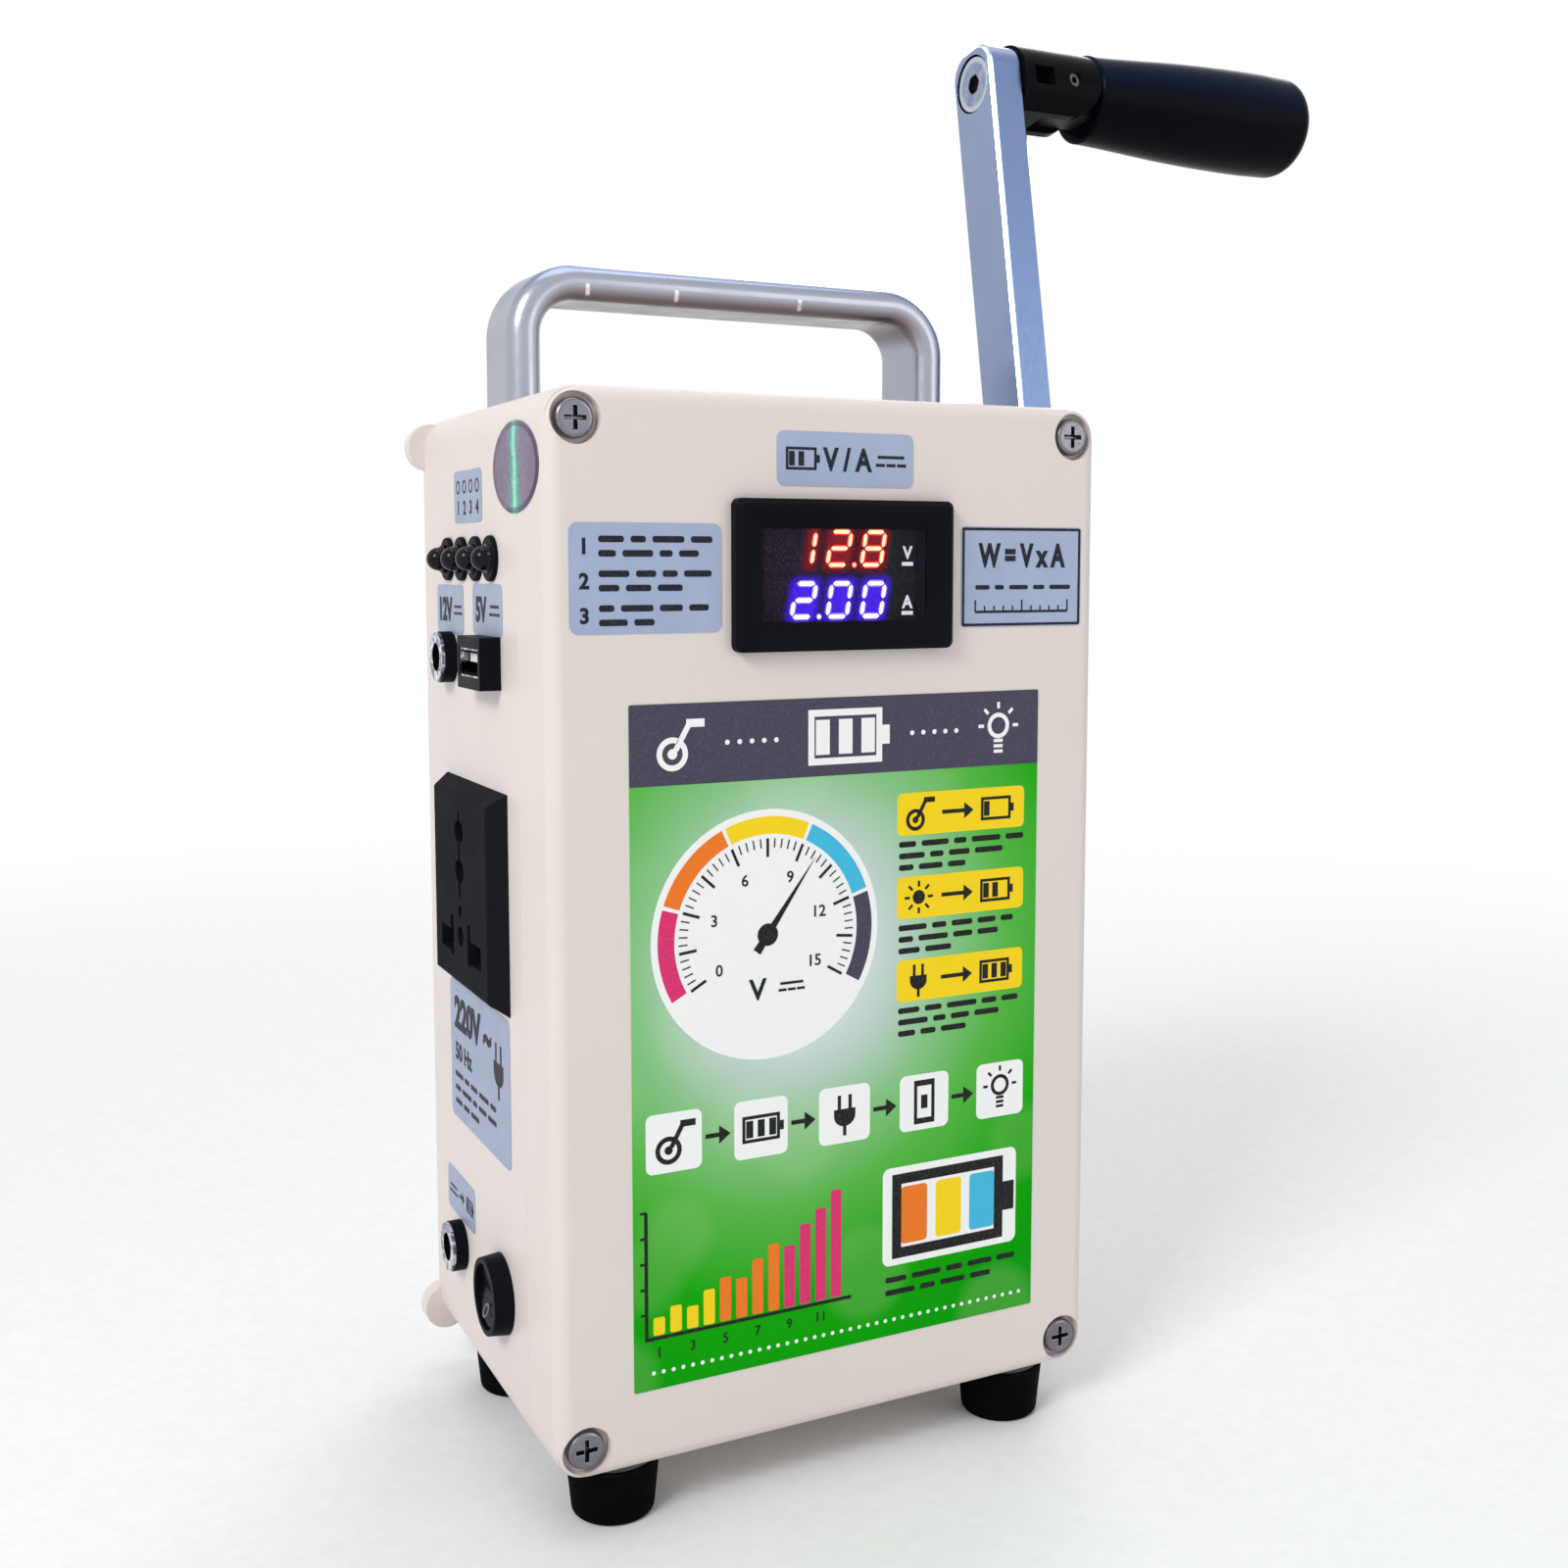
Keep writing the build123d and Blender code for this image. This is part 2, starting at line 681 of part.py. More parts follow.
with BuildPart() as usb_shell:
    with BuildSketch(left_wall.offset(-usb_depth + 2)):
        with Locations(on_wall(usb_at)):
            Rectangle(usb_shell_width, usb_shell_height)
            Rectangle(usb_shell_width - 2 * usb_shell_wall, usb_shell_height - 2 * usb_shell_wall,
                      mode=Mode.SUBTRACT)
    extrude(amount=usb_depth - 2 + usb_lip - 0.2)

with BuildPart() as usb_tongue:
    inner_height = usb_shell_height - 2 * usb_shell_wall
    y, height = usb_at
    with BuildSketch(left_wall.offset(-usb_depth + 2)):
        with Locations(on_wall((y, height + inner_height / 2 - 1.6))):
            Rectangle(11.0, 1.7)
    extrude(amount=usb_depth - 2 + usb_lip - 2.0)

# Universal mains socket: a bevelled plate whose openings take blade and round pins
with BuildPart() as mains_socket:
    with BuildSketch(left_wall):
        with Locations(on_wall(socket_at)):
            Rectangle(socket_size, socket_size)
    extrude(amount=socket_lip, taper=degrees(atan2(socket_bevel, socket_lip)))
    fillet(mains_socket.edges().filter_by(GeomType.LINE).group_by(SortBy.LENGTH)[0], 1.0)
    with BuildSketch(left_wall.offset(-socket_depth)):
        with Locations(on_wall(socket_at)):
            Rectangle(socket_body, socket_body)
    extrude(amount=socket_depth)
    u, v = on_wall(socket_at)
    with BuildSketch(left_wall.offset(socket_lip)):
        # on the middle line: two wide openings joined by a slit, and two round holes
        with Locations((u, v + 12.1), (u, v + 3.9)):
            SlotOverall(6.6, 4.4)
        with Locations((u, v + 7.3)):
            Rectangle(1.4, 18.0)
        with Locations((u, v - 4.4)):
            Circle(1.3)
        with Locations((u, v - 9.6)):
            Circle(2.2)
        # the two line openings: an upright slot that opens into a wide one
        for du in (-1, 1):
            with Locations((u + du * 6.3, v - 10.3)):
                Rectangle(2.3, 8.6)
            with Locations((u + du * 10.6, v - 11.6)):
                Rectangle(8.6, 4.8)
    extrude(amount=-slot_depth, mode=Mode.SUBTRACT)

# ---------------------------------------------------------------- left panel: rocker switch
rocker_pivot = left_wall.from_local_coords((*on_wall(switch_at), rocker_pivot_height))
pivot_plane = Plane(rocker_pivot, x_dir=left_wall.y_dir, z_dir=left_wall.x_dir)
rocker_plane = Plane(rocker_pivot, x_dir=left_wall.x_dir, z_dir=left_wall.z_dir)
rocker_plane = rocker_plane.rotated((rocker_tilt, 0, 0))
rocker_side = Plane(rocker_pivot, x_dir=rocker_plane.y_dir, z_dir=rocker_plane.x_dir)

with BuildPart() as switch_housing:
    with BuildSketch(left_wall):
        with Locations(on_wall(switch_at)):
            Circle(switch_radius)
    extrude(amount=switch_lip,
            taper=degrees(atan2(switch_radius - switch_top_radius, switch_lip)))
    with BuildSketch(left_wall.offset(-switch_depth)):
        with Locations(on_wall(switch_at)):
            Circle(switch_body_radius)
    extrude(amount=switch_depth)
    with BuildSketch(left_wall.offset(switch_lip)):
        with Locations(on_wall(switch_at)):
            Circle(switch_mouth_radius)
    extrude(amount=-(switch_lip + 4.0), mode=Mode.SUBTRACT)
    with BuildSketch(pivot_plane):
        Circle(rocker_pivot_radius + 0.08)
    extrude(amount=switch_mouth_radius + 0.7, both=True, mode=Mode.SUBTRACT)

with BuildPart() as switch_rocker:
    with BuildSketch(rocker_plane.offset(-rocker_below)):
        Circle(rocker_radius)
    extrude(amount=rocker_below + rocker_above)
    # seen from the side: a round back and two halves that slope to a shallow valley
    with BuildSketch(rocker_side) as rocker_outline:
        Circle(rocker_radius + 0.2)
        with BuildLine():
            Polyline((-8, 8), (-8, rocker_above), (0, rocker_above - rocker_valley),
                     (8, rocker_above), (8, 8), close=True)
        make_face(mode=Mode.SUBTRACT)
    extrude(amount=10, both=True, mode=Mode.INTERSECT)
    with BuildSketch(pivot_plane):
        Circle(rocker_pivot_radius)
    extrude(amount=switch_mouth_radius + 0.5, both=True)

# Solder tabs behind the switch and the socket
with BuildPart() as solder_tabs:
    with BuildSketch(left_wall.offset(-switch_depth)):
        with Locations(on_wall(switch_at)):
            with GridLocations(1, 7, 1, 2):
                Rectangle(4.8, 0.8)
    extrude(amount=-7.0)
    with BuildSketch(left_wall.offset(-socket_depth)):
        with Locations(on_wall(socket_at)):
            with GridLocations(1, 12, 1, 3):
                Rectangle(6.0, 0.8)
    extrude(amount=-7.0)

# ---------------------------------------------------------------- crank bearing on the right side
with BuildPart() as shaft_flange:
    with BuildSketch(across(flange_face, shaft_y, shaft_z)):
        Circle(flange_radius)
    extrude(amount=flange_thickness)
    fillet(shaft_flange.edges().group_by(Axis.X)[-1], 0.8)
    with BuildSketch(across(flange_inner_end, shaft_y, shaft_z)):
        Circle(flange_hub_radius)
    extrude(amount=flange_face - flange_inner_end)
    with BuildSketch(across(flange_inner_end, shaft_y, shaft_z)):
        Circle(bearing_radius)
    extrude(amount=bearing_pocket, mode=Mode.SUBTRACT)
    with BuildSketch(across(flange_inner_end, shaft_y, shaft_z)):
        Circle(shaft_radius + 0.6)
    extrude(amount=20, mode=Mode.SUBTRACT)
    with BuildSketch(across(flange_face + flange_thickness, shaft_y, shaft_z)):
        with PolarLocations(flange_screw_circle, 3, start_angle=90):
            Circle(1.6)
    extrude(amount=-10, mode=Mode.SUBTRACT)

with BuildPart() as flange_screws:
    with BuildSketch(across(flange_face + flange_thickness, shaft_y, shaft_z)):
        with PolarLocations(flange_screw_circle, 3, start_angle=90):
            Circle(2.4)
    extrude(amount=1.4)
    fillet(flange_screws.edges().group_by(Axis.X)[-1], 0.5)
    with BuildSketch(across(flange_face + flange_thickness, shaft_y, shaft_z)):
        with PolarLocations(flange_screw_circle, 3, start_angle=90):
            Circle(1.25 - fit)
    extrude(amount=-8)

with BuildPart() as outer_bearing:
    with BuildSketch(across(bearing_end, shaft_y, shaft_z)):
        Circle(bearing_radius - fit)
        Circle(shaft_radius + running, mode=Mode.SUBTRACT)
    extrude(amount=-bearing_length)

with BuildPart() as inner_bearing:
    with BuildSketch(across(inner_plate_x - 1.5, shaft_y, shaft_z)):
        Circle(8.0)
        Circle(shaft_radius + running, mode=Mode.SUBTRACT)
    extrude(amount=1.5)
    with BuildSketch(across(inner_plate_x, shaft_y, shaft_z)):
        Circle(7.0)
        Circle(shaft_radius + running, mode=Mode.SUBTRACT)
    extrude(amount=plate_thickness + 2.0)

# ---------------------------------------------------------------- crank
with BuildPart() as crank_shaft:
    with BuildSketch(across(inner_plate_x - 2.0, shaft_y, shaft_z)):
        Circle(shaft_radius)
    extrude(amount=arm_x - inner_plate_x + 2.0)
    with BuildSketch(arm_plane) as arm_seat:
        Circle(arm_bore_radius - fit)
        with Locations((4.4, 0)):
            Rectangle(2.0, 10, mode=Mode.SUBTRACT)
    extrude(amount=arm_thickness)
    with BuildSketch(arm_plane.offset(arm_thickness)):
        Circle(2.1)
    extrude(amount=-12, mode=Mode.SUBTRACT)
    # flat for the drive gear
    with BuildSketch(across(drive_gear_x - 1, shaft_y, shaft_z)):
        with Locations((5.2, 0)):
            Rectangle(2.0, 12)
    extrude(amount=drive_gear_width + 6, mode=Mode.SUBTRACT)

with BuildPart() as crank_arm:
    with BuildSketch(arm_plane) as arm_outline:
        with Locations((0, (crank_radius + arm_end) / 2)):
            Rectangle(arm_width, crank_radius + arm_end)
        fillet(arm_outline.vertices().group_by(Axis.Y)[-1], arm_end_radius)
        Circle(arm_hub_radius)
    extrude(amount=arm_thickness)
    chamfer(crank_arm.faces().filter_by(Axis.X).edges(), arm_chamfer)
    with BuildSketch(arm_plane) as arm_bore:
        Circle(arm_bore_radius)
        with Locations((4.4 + fit, 0)):
            Rectangle(2.0, 10, mode=Mode.SUBTRACT)
    extrude(amount=arm_thickness, mode=Mode.SUBTRACT)
    with Locations(arm_plane.rotated((180, 0, 0)).location * Location((0, -crank_radius, 0))):
        CounterSinkHole(bolt_radius + 0.15, countersink_radius, arm_thickness, 90)

with BuildPart() as hub_screw:
    with BuildSketch(arm_plane.offset(arm_thickness)):
        Circle(7.0)
    extrude(amount=1.2)
    with BuildSketch(arm_plane.offset(arm_thickness + 1.2)):
        Circle(4.4)
    extrude(amount=3.0)
    fillet(hub_screw.edges().group_by(Axis.X)[-1], 1.0)
    with BuildSketch(arm_plane.offset(arm_thickness)):
        Circle(2.1 - fit)
    extrude(amount=-11)
    with BuildSketch(arm_plane.offset(arm_thickness + 4.2)):
        RegularPolygon(2.0, 6)
    extrude(amount=-2.2, mode=Mode.SUBTRACT)

bolt_frame = Plane(arm_plane.from_local_coords((0, crank_radius, 0)),
                   x_dir=arm_plane.x_dir, z_dir=arm_plane.z_dir)
with BuildPart() as handle_bolt:
    head_height = bolt_head_radius - bolt_radius
    with BuildSketch(bolt_frame.offset(countersink_radius - bolt_head_radius)) as head_ring:
        Circle(bolt_head_radius)
    extrude(amount=head_height, taper=44.9)
    with BuildSketch(bolt_frame.offset(1.0)):
        Circle(bolt_radius - fit)
    extrude(amount=arm_thickness + insert_length - 1)
    with BuildSketch(bolt_frame.offset(countersink_radius - bolt_head_radius)):
        RegularPolygon(2.3, 6)
    extrude(amount=2.4, mode=Mode.SUBTRACT)

# ---------------------------------------------------------------- fold-away handle
block_start = -pin_from_arm
with BuildPart() as fold_block:
    with BuildSketch(bolt_frame.offset(arm_thickness)):
        Circle(block_radius)
    extrude(amount=pin_from_arm + fold_radius)
    # side outline: rounded about the pin on the folding side, flat below
    with BuildSketch(handle_plane):
        with BuildLine():
            Line((block_start - 1, 12), (fold_radius, 12))
            Line((fold_radius, 12), (fold_radius, 0))
            RadiusArc((fold_radius, 0), (0, -fold_radius), fold_radius)
            Line((0, -fold_radius), (block_start - 1, -fold_radius))
            Line((block_start - 1, -fold_radius), (block_start - 1, 12))
        make_face()
    extrude(amount=12, both=True, mode=Mode.INTERSECT)
    # the gap that the tongue folds into, open outwards and towards the crank's hub
    with BuildSketch(handle_plane):
        with Locations((0, 0)):
            Circle(tongue_radius + 0.4)
        with Locations((6, 0)):
            Rectangle(12, 2 * tongue_radius + 0.8)
        with Locations((0, -6)):
            Rectangle(2 * tongue_radius + 0.8, 12)
        with Locations((6, -6)):
            Rectangle(12, 12)
    extrude(amount=tongue_width / 2 + slot_side, both=True, mode=Mode.SUBTRACT)
    with BuildSketch(handle_plane):
        Circle(pin_radius)
    extrude(amount=12, both=True, mode=Mode.SUBTRACT)
    # moulded pockets in both flanks
    for flank in (-1, 1):
        with BuildSketch(handle_plane.offset(flank * (block_radius - pocket_depth))):
            with Locations((-8.6, 0)):
                Rectangle(pocket_length, pocket_height)
        extrude(amount=flank * pocket_depth, mode=Mode.SUBTRACT)
    with BuildSketch(bolt_frame.offset(arm_thickness)):
        Circle(insert_radius)
    extrude(amount=insert_length + 0.4, mode=Mode.SUBTRACT)

with BuildPart() as handle_insert:
    with BuildSketch(bolt_frame.offset(arm_thickness + 0.2)):
        Circle(insert_radius - fit)
        Circle(bolt_radius, mode=Mode.SUBTRACT)
    extrude(amount=insert_length)

with BuildPart() as fold_pin:
    with BuildSketch(handle_plane):
        Circle(pin_radius - fit)
        Circle(pin_bore, mode=Mode.SUBTRACT)
    extrude(amount=block_radius - 0.6, both=True)

tongue_end = fold_radius + fold_gap
with BuildPart() as grip_spindle:
    with BuildSketch(handle_plane):
        Circle(tongue_radius)
        with Locations((tongue_end / 2, 0)):
            Rectangle(tongue_end, 2 * tongue_radius)
    extrude(amount=tongue_width / 2, both=True)
    with BuildSketch(across(grip_start_x, bolt_y, bolt_z)):
        Circle(spindle_radius)
    extrude(amount=spindle_length)
    with BuildSketch(handle_plane):
        Circle(pin_radius + running)
    extrude(amount=6, both=True, mode=Mode.SUBTRACT)
    with BuildSketch(across(grip_start_x + spindle_length, bolt_y, bolt_z)):
        Circle(1.6)
    extrude(amount=-12, mode=Mode.SUBTRACT)

with BuildPart() as grip:
    axis_frame = Plane((grip_start_x, bolt_y, bolt_z), x_dir=(1, 0, 0), z_dir=(0, -1, 0))
    with BuildSketch(axis_frame) as grip_half:
        end = grip_length
        with BuildLine():
            Polyline((0, spindle_radius + running), (0, grip_neck_radius - 0.5),
                     (0.5, grip_neck_radius))
            Spline((0.5, grip_neck_radius), (end * 0.33, 11.45), (end - 12, grip_belly_radius),
                   tangents=[(1, 0.03), (1, 0)])
            Line((end - 12, grip_belly_radius), (end - grip_end_radius, grip_belly_radius - 0.2))
            RadiusArc((end - grip_end_radius, grip_belly_radius - 0.2),
                      (end, grip_belly_radius - 0.2 - grip_end_radius), grip_end_radius)
            Polyline((end, grip_belly_radius - 0.2 - grip_end_radius), (end, cap_radius),
                     (end - cap_thickness, cap_radius), (end - cap_thickness, 6.6),
                     (spindle_length - 1.0, 6.6), (spindle_length - 1.0, spindle_radius + running),
                     (0, spindle_radius + running))
        make_face()
    revolve(axis=Axis((grip_start_x, bolt_y, bolt_z), (1, 0, 0)))

with BuildPart() as grip_cap:
    with BuildSketch(across(grip_end_x - cap_thickness, bolt_y, bolt_z)):
        Circle(cap_radius - fit)
    extrude(amount=cap_thickness)

with BuildPart() as grip_screw:
    spindle_tip = grip_start_x + spindle_length
    with BuildSketch(across(spindle_tip, bolt_y, bolt_z)):
        Circle(5.9)
    extrude(amount=1.0)
    with BuildSketch(across(spindle_tip + 1.0, bolt_y, bolt_z)):
        Circle(3.2)
    extrude(amount=2.2)
    with BuildSketch(across(spindle_tip, bolt_y, bolt_z)):
        Circle(1.6 - fit)
    extrude(amount=-10)

# ---------------------------------------------------------------- gear train
with BuildPart() as drive_gear:
    with BuildSketch(across(drive_gear_x, shaft_y, shaft_z)):
        spur_gear(wheel_teeth, coarse_module, idler_direction)
        with PolarLocations(18.0, 6):
            Circle(6.0, mode=Mode.SUBTRACT)
    extrude(amount=drive_gear_width)
    with BuildSketch(across(drive_gear_x, shaft_y, shaft_z)):
        Circle(9.0)
    extrude(amount=drive_gear_width + 4)
    with BuildSketch(across(drive_gear_x - 1, shaft_y, shaft_z)) as gear_bore:
        Circle(shaft_radius + fit)
        with Locations((5.2 + fit, 0)):
            Rectangle(2.0, 12, mode=Mode.SUBTRACT)
    extrude(amount=drive_gear_width + 6, mode=Mode.SUBTRACT)

with BuildPart() as idler_gear:
    with BuildSketch(across(fine_gear_x, idler_y, idler_z)):
        spur_gear(wheel_teeth, fine_module, rotor_direction)
        with PolarLocations(15.0, 6):
            Circle(4.5, mode=Mode.SUBTRACT)
    extrude(amount=fine_gear_width)
    with BuildSketch(across(fine_gear_x + fine_gear_width, idler_y, idler_z)):
        spur_gear(pinion_teeth, coarse_module, idler_direction + 180 + 180 / pinion_teeth)
    extrude(amount=drive_gear_x + pinion_width - fine_gear_x - fine_gear_width)
    with BuildSketch(across(fine_gear_x, idler_y, idler_z)):
        Circle(axle_radius + running)
    extrude(amount=30, mode=Mode.SUBTRACT)

with BuildPart() as idler_axle:
    with BuildSketch(across(inner_plate_x - 1, idler_y, idler_z)):
        Circle(axle_radius)
    extrude(amount=outer_plate_x + plate_thickness - inner_plate_x + 2)

with BuildPart() as rotor_pinion:
    with BuildSketch(across(fine_gear_x - 1.5, rotor_y, rotor_z)):
        spur_gear(pinion_teeth, fine_module, rotor_direction + 180 + 180 / pinion_teeth)
        Circle(rotor_shaft_radius, mode=Mode.SUBTRACT)
    extrude(amount=fine_gear_width + 3)

with BuildPart() as gearbox_plates:
    for plate_x in (inner_plate_x, outer_plate_x):
        with BuildSketch(across(plate_x)) as plate_outline:
            with BuildLine():
                Polyline((plate_front, plate_top), (plate_back, plate_top),
                         (plate_back, plate_bottom), (rotor_y - 27.8, plate_bottom),
                         (rotor_y - 27.8, rotor_z + 10.7), (plate_front, shaft_z - 28.7), close=True)
            make_face()
            fillet(plate_outline.vertices(), 4.0)
            with Locations(*plate_screws):
                Circle(plate_screw_radius, mode=Mode.SUBTRACT)
            with Locations((idler_y, idler_z)):
                Circle(axle_radius + fit, mode=Mode.SUBTRACT)
            with Locations((shaft_y, shaft_z)):
                Circle(7.0 if plate_x == inner_plate_x else 12.5, mode=Mode.SUBTRACT)
            with Locations((rotor_y, rotor_z)):
                Circle(6.0, mode=Mode.SUBTRACT)
            with Locations((shaft_y - 13, shaft_z - 18.7), (shaft_y + 23, shaft_z + 6.3)):
                Circle(5.5, mode=Mode.SUBTRACT)
        extrude(amount=plate_thickness)

with BuildPart() as plate_spacers:
    with BuildSketch(across(inner_plate_x + plate_thickness)):
        with Locations(*plate_screws):
            Circle(spacer_radius)
            Circle(plate_screw_radius, mode=Mode.SUBTRACT)
    extrude(amount=outer_plate_x - inner_plate_x - plate_thickness)

with BuildPart() as gearbox_screws:
    with BuildSketch(across(inner_plate_x)):
        with Locations(*plate_screws):
            Circle(3.2)
    extrude(amount=-2.4)
    with BuildSketch(across(inner_plate_x)):
        with Locations(*plate_screws):
            Circle(plate_screw_radius - 0.32)
    extrude(amount=outer_plate_x + plate_thickness - inner_plate_x + 4.5)

# ---------------------------------------------------------------- generator
can_end = inner_plate_x - generator_length
with BuildPart() as generator_can:
    with BuildSketch(across(can_end, rotor_y, rotor_z)):
        Circle(generator_radius)
    extrude(amount=generator_length)
    with BuildSketch(across(can_end, rotor_y, rotor_z)):
        Circle(generator_radius - generator_wall)
    extrude(amount=generator_length - generator_wall, mode=Mode.SUBTRACT)
    with BuildSketch(across(inner_plate_x, rotor_y, rotor_z)):
        Circle(rotor_shaft_radius + 0.5)
    extrude(amount=-4, mode=Mode.SUBTRACT)

with BuildPart() as generator_magnets:
    with BuildSketch(across(can_end + 10, rotor_y, rotor_z)):
        Circle(generator_radius - generator_wall - fit)
        Circle(generator_radius - generator_wall - magnet_thickness, mode=Mode.SUBTRACT)
        Rectangle(8, 60, mode=Mode.SUBTRACT)
    extrude(amount=32)

with BuildPart() as generator_end_cap:
    with BuildSketch(across(can_end - 2.5, rotor_y, rotor_z)):
        Circle(generator_radius)
    extrude(amount=2.5)
    with BuildSketch(across(can_end, rotor_y, rotor_z)):
        Circle(generator_radius - generator_wall - fit)
        Circle(rotor_shaft_radius + running, mode=Mode.SUBTRACT)
    extrude(amount=4)
    with BuildSketch(across(can_end - 2.5, rotor_y, rotor_z)):
        Circle(rotor_shaft_radius + running)
    extrude(amount=8, mode=Mode.SUBTRACT)

with BuildPart() as generator_rotor:
    with BuildSketch(across(can_end - 2.5, rotor_y, rotor_z)):
        Circle(rotor_shaft_radius - fit)
    extrude(amount=generator_length + 2.5 + fine_gear_x + fine_gear_width + 1 - inner_plate_x)
    with BuildSketch(across(can_end + 12, rotor_y, rotor_z)):
        Circle(rotor_radius)
        with PolarLocations(rotor_radius - 2.6, 5):
            Rectangle(7.0, 2.2, mode=Mode.SUBTRACT)
    extrude(amount=28)
    with BuildSketch(across(can_end + 5, rotor_y, rotor_z)):
        Circle(5.5)
    extrude(amount=5)

# ---------------------------------------------------------------- battery
cells_start = pack_middle_x - cell_length / 2
cell_pitch = 2 * cell_radius + cell_gap
pack_height = cell_rows * cell_pitch + 3
pack_width = cell_columns * cell_pitch + 3
pack_middle_z = floor_inside + pack_height / 2
with BuildPart() as battery_cells:
    with BuildSketch(across(cells_start, pack_middle_y, pack_middle_z)):
        with GridLocations(cell_pitch, cell_pitch, cell_columns, cell_rows):
            Circle(cell_radius)
    extrude(amount=cell_length)

with BuildPart() as battery_frames:
    for frame_x in (cells_start + 1, cells_start + cell_length - 1 - frame_thickness):
        with BuildSketch(across(frame_x, pack_middle_y, pack_middle_z)):
            RectangleRounded(pack_width, pack_height, 3)
            with GridLocations(cell_pitch, cell_pitch, cell_columns, cell_rows):
                Circle(cell_radius + 0.05, mode=Mode.SUBTRACT)
        extrude(amount=frame_thickness)

with BuildPart() as battery_board:
    with BuildSketch(Plane((pack_middle_x, pack_middle_y, floor_inside + pack_height))):
        Rectangle(cell_length - 2, 42)
    extrude(amount=board)

# ---------------------------------------------------------------- inverter
with BuildPart() as inverter_board:
    with BuildSketch(facing(board_y)):
        with Locations(board_at):
            Rectangle(board_width, board_height)
    extrude(amount=board)

board_face = board_y - board
board_x, board_z = board_at
transformer_at = (board_x + 7, board_z + 16)
with BuildPart() as transformer_core:
    with BuildSketch(facing(board_face)):
        with Locations(transformer_at):
            Rectangle(34, 28)
            with GridLocations(21, 1, 2, 1):
                Rectangle(7.5, 17, mode=Mode.SUBTRACT)
    extrude(amount=22)

with BuildPart() as transformer_coil:
    with BuildSketch(facing(board_face)):
        with Locations(transformer_at):
            Rectangle(28.1, 16.8)
            Rectangle(13.5, 18, mode=Mode.SUBTRACT)
    extrude(amount=24)

with BuildPart() as heat_sink:
    with BuildSketch(facing(board_face)):
        with Locations((board_x - 21, board_z + 4)):
            Rectangle(4, 44)
            with GridLocations(1, 7.2, 1, 6):
                Rectangle(12, 2)
    extrude(amount=20)

# ---------------------------------------------------------------- files
pieces = {
    "base_shell": base_shell, "lid": lid, "lid_gasket": lid_gasket, "lid_screws": lid_screws,
    "rubber_feet": rubber_feet, "foot_tape_discs": foot_tape_discs,
    "carry_handle": carry_handle, "handle_washers": handle_washers, "handle_screws": handle_screws,
    "meter_bezel": meter_bezel, "meter_window": meter_window,
    "meter_digit_blocks": meter_digit_blocks, "meter_board": meter_board,
    "lamp_holders": lamp_holders, "lamp_lenses": lamp_lenses, "lamp_board": lamp_board,
    "jack_bodies": jack_bodies, "jack_rings": jack_rings, "jack_pins": jack_pins,
    "jack_nuts": jack_nuts, "usb_housing": usb_housing, "usb_shell": usb_shell,
    "usb_tongue": usb_tongue, "mains_socket": mains_socket, "solder_tabs": solder_tabs,
    "switch_housing": switch_housing, "switch_rocker": switch_rocker,
    "shaft_flange": shaft_flange, "flange_screws": flange_screws,
    "outer_bearing": outer_bearing, "inner_bearing": inner_bearing,
    "crank_shaft": crank_shaft, "crank_arm": crank_arm, "hub_screw": hub_screw,
    "handle_bolt": handle_bolt, "fold_block": fold_block, "handle_insert": handle_insert,
    "fold_pin": fold_pin, "grip_spindle": grip_spindle, "grip": grip, "grip_cap": grip_cap,
    "grip_screw": grip_screw, "drive_gear": drive_gear, "idler_gear": idler_gear,
    "idler_axle": idler_axle, "rotor_pinion": rotor_pinion, "gearbox_plates": gearbox_plates,
    "plate_spacers": plate_spacers, "gearbox_screws": gearbox_screws,
    "generator_can": generator_can, "generator_magnets": generator_magnets,
    "generator_end_cap": generator_end_cap, "generator_rotor": generator_rotor,
    "battery_cells": battery_cells, "battery_frames": battery_frames,
    "battery_board": battery_board, "inverter_board": inverter_board,
    "transformer_core": transformer_core, "transformer_coil": transformer_coil,
    "heat_sink": heat_sink,
}
os.makedirs("parts", exist_ok=True)
for name, piece in pieces.items():
    piece.part.label = name
    export_step(piece.part, f"parts/{name}.step")
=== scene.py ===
import json
import math

import bmesh
import bpy
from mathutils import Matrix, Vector


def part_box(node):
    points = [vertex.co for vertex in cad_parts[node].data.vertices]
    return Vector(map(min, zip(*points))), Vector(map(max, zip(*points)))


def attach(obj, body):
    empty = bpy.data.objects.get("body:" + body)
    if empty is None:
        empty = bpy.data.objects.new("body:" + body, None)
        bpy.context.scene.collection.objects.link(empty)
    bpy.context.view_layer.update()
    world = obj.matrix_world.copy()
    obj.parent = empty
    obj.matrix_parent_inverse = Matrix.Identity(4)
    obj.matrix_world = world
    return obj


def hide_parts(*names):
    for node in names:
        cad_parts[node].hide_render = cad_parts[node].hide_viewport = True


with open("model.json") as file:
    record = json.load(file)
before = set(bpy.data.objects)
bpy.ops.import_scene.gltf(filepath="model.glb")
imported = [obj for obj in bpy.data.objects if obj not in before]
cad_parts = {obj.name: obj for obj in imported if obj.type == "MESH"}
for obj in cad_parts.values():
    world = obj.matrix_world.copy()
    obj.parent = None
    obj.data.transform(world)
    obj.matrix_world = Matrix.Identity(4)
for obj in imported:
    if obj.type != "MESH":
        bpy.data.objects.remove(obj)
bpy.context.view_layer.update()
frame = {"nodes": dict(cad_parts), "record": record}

MM = 0.001
nodes = frame["nodes"]

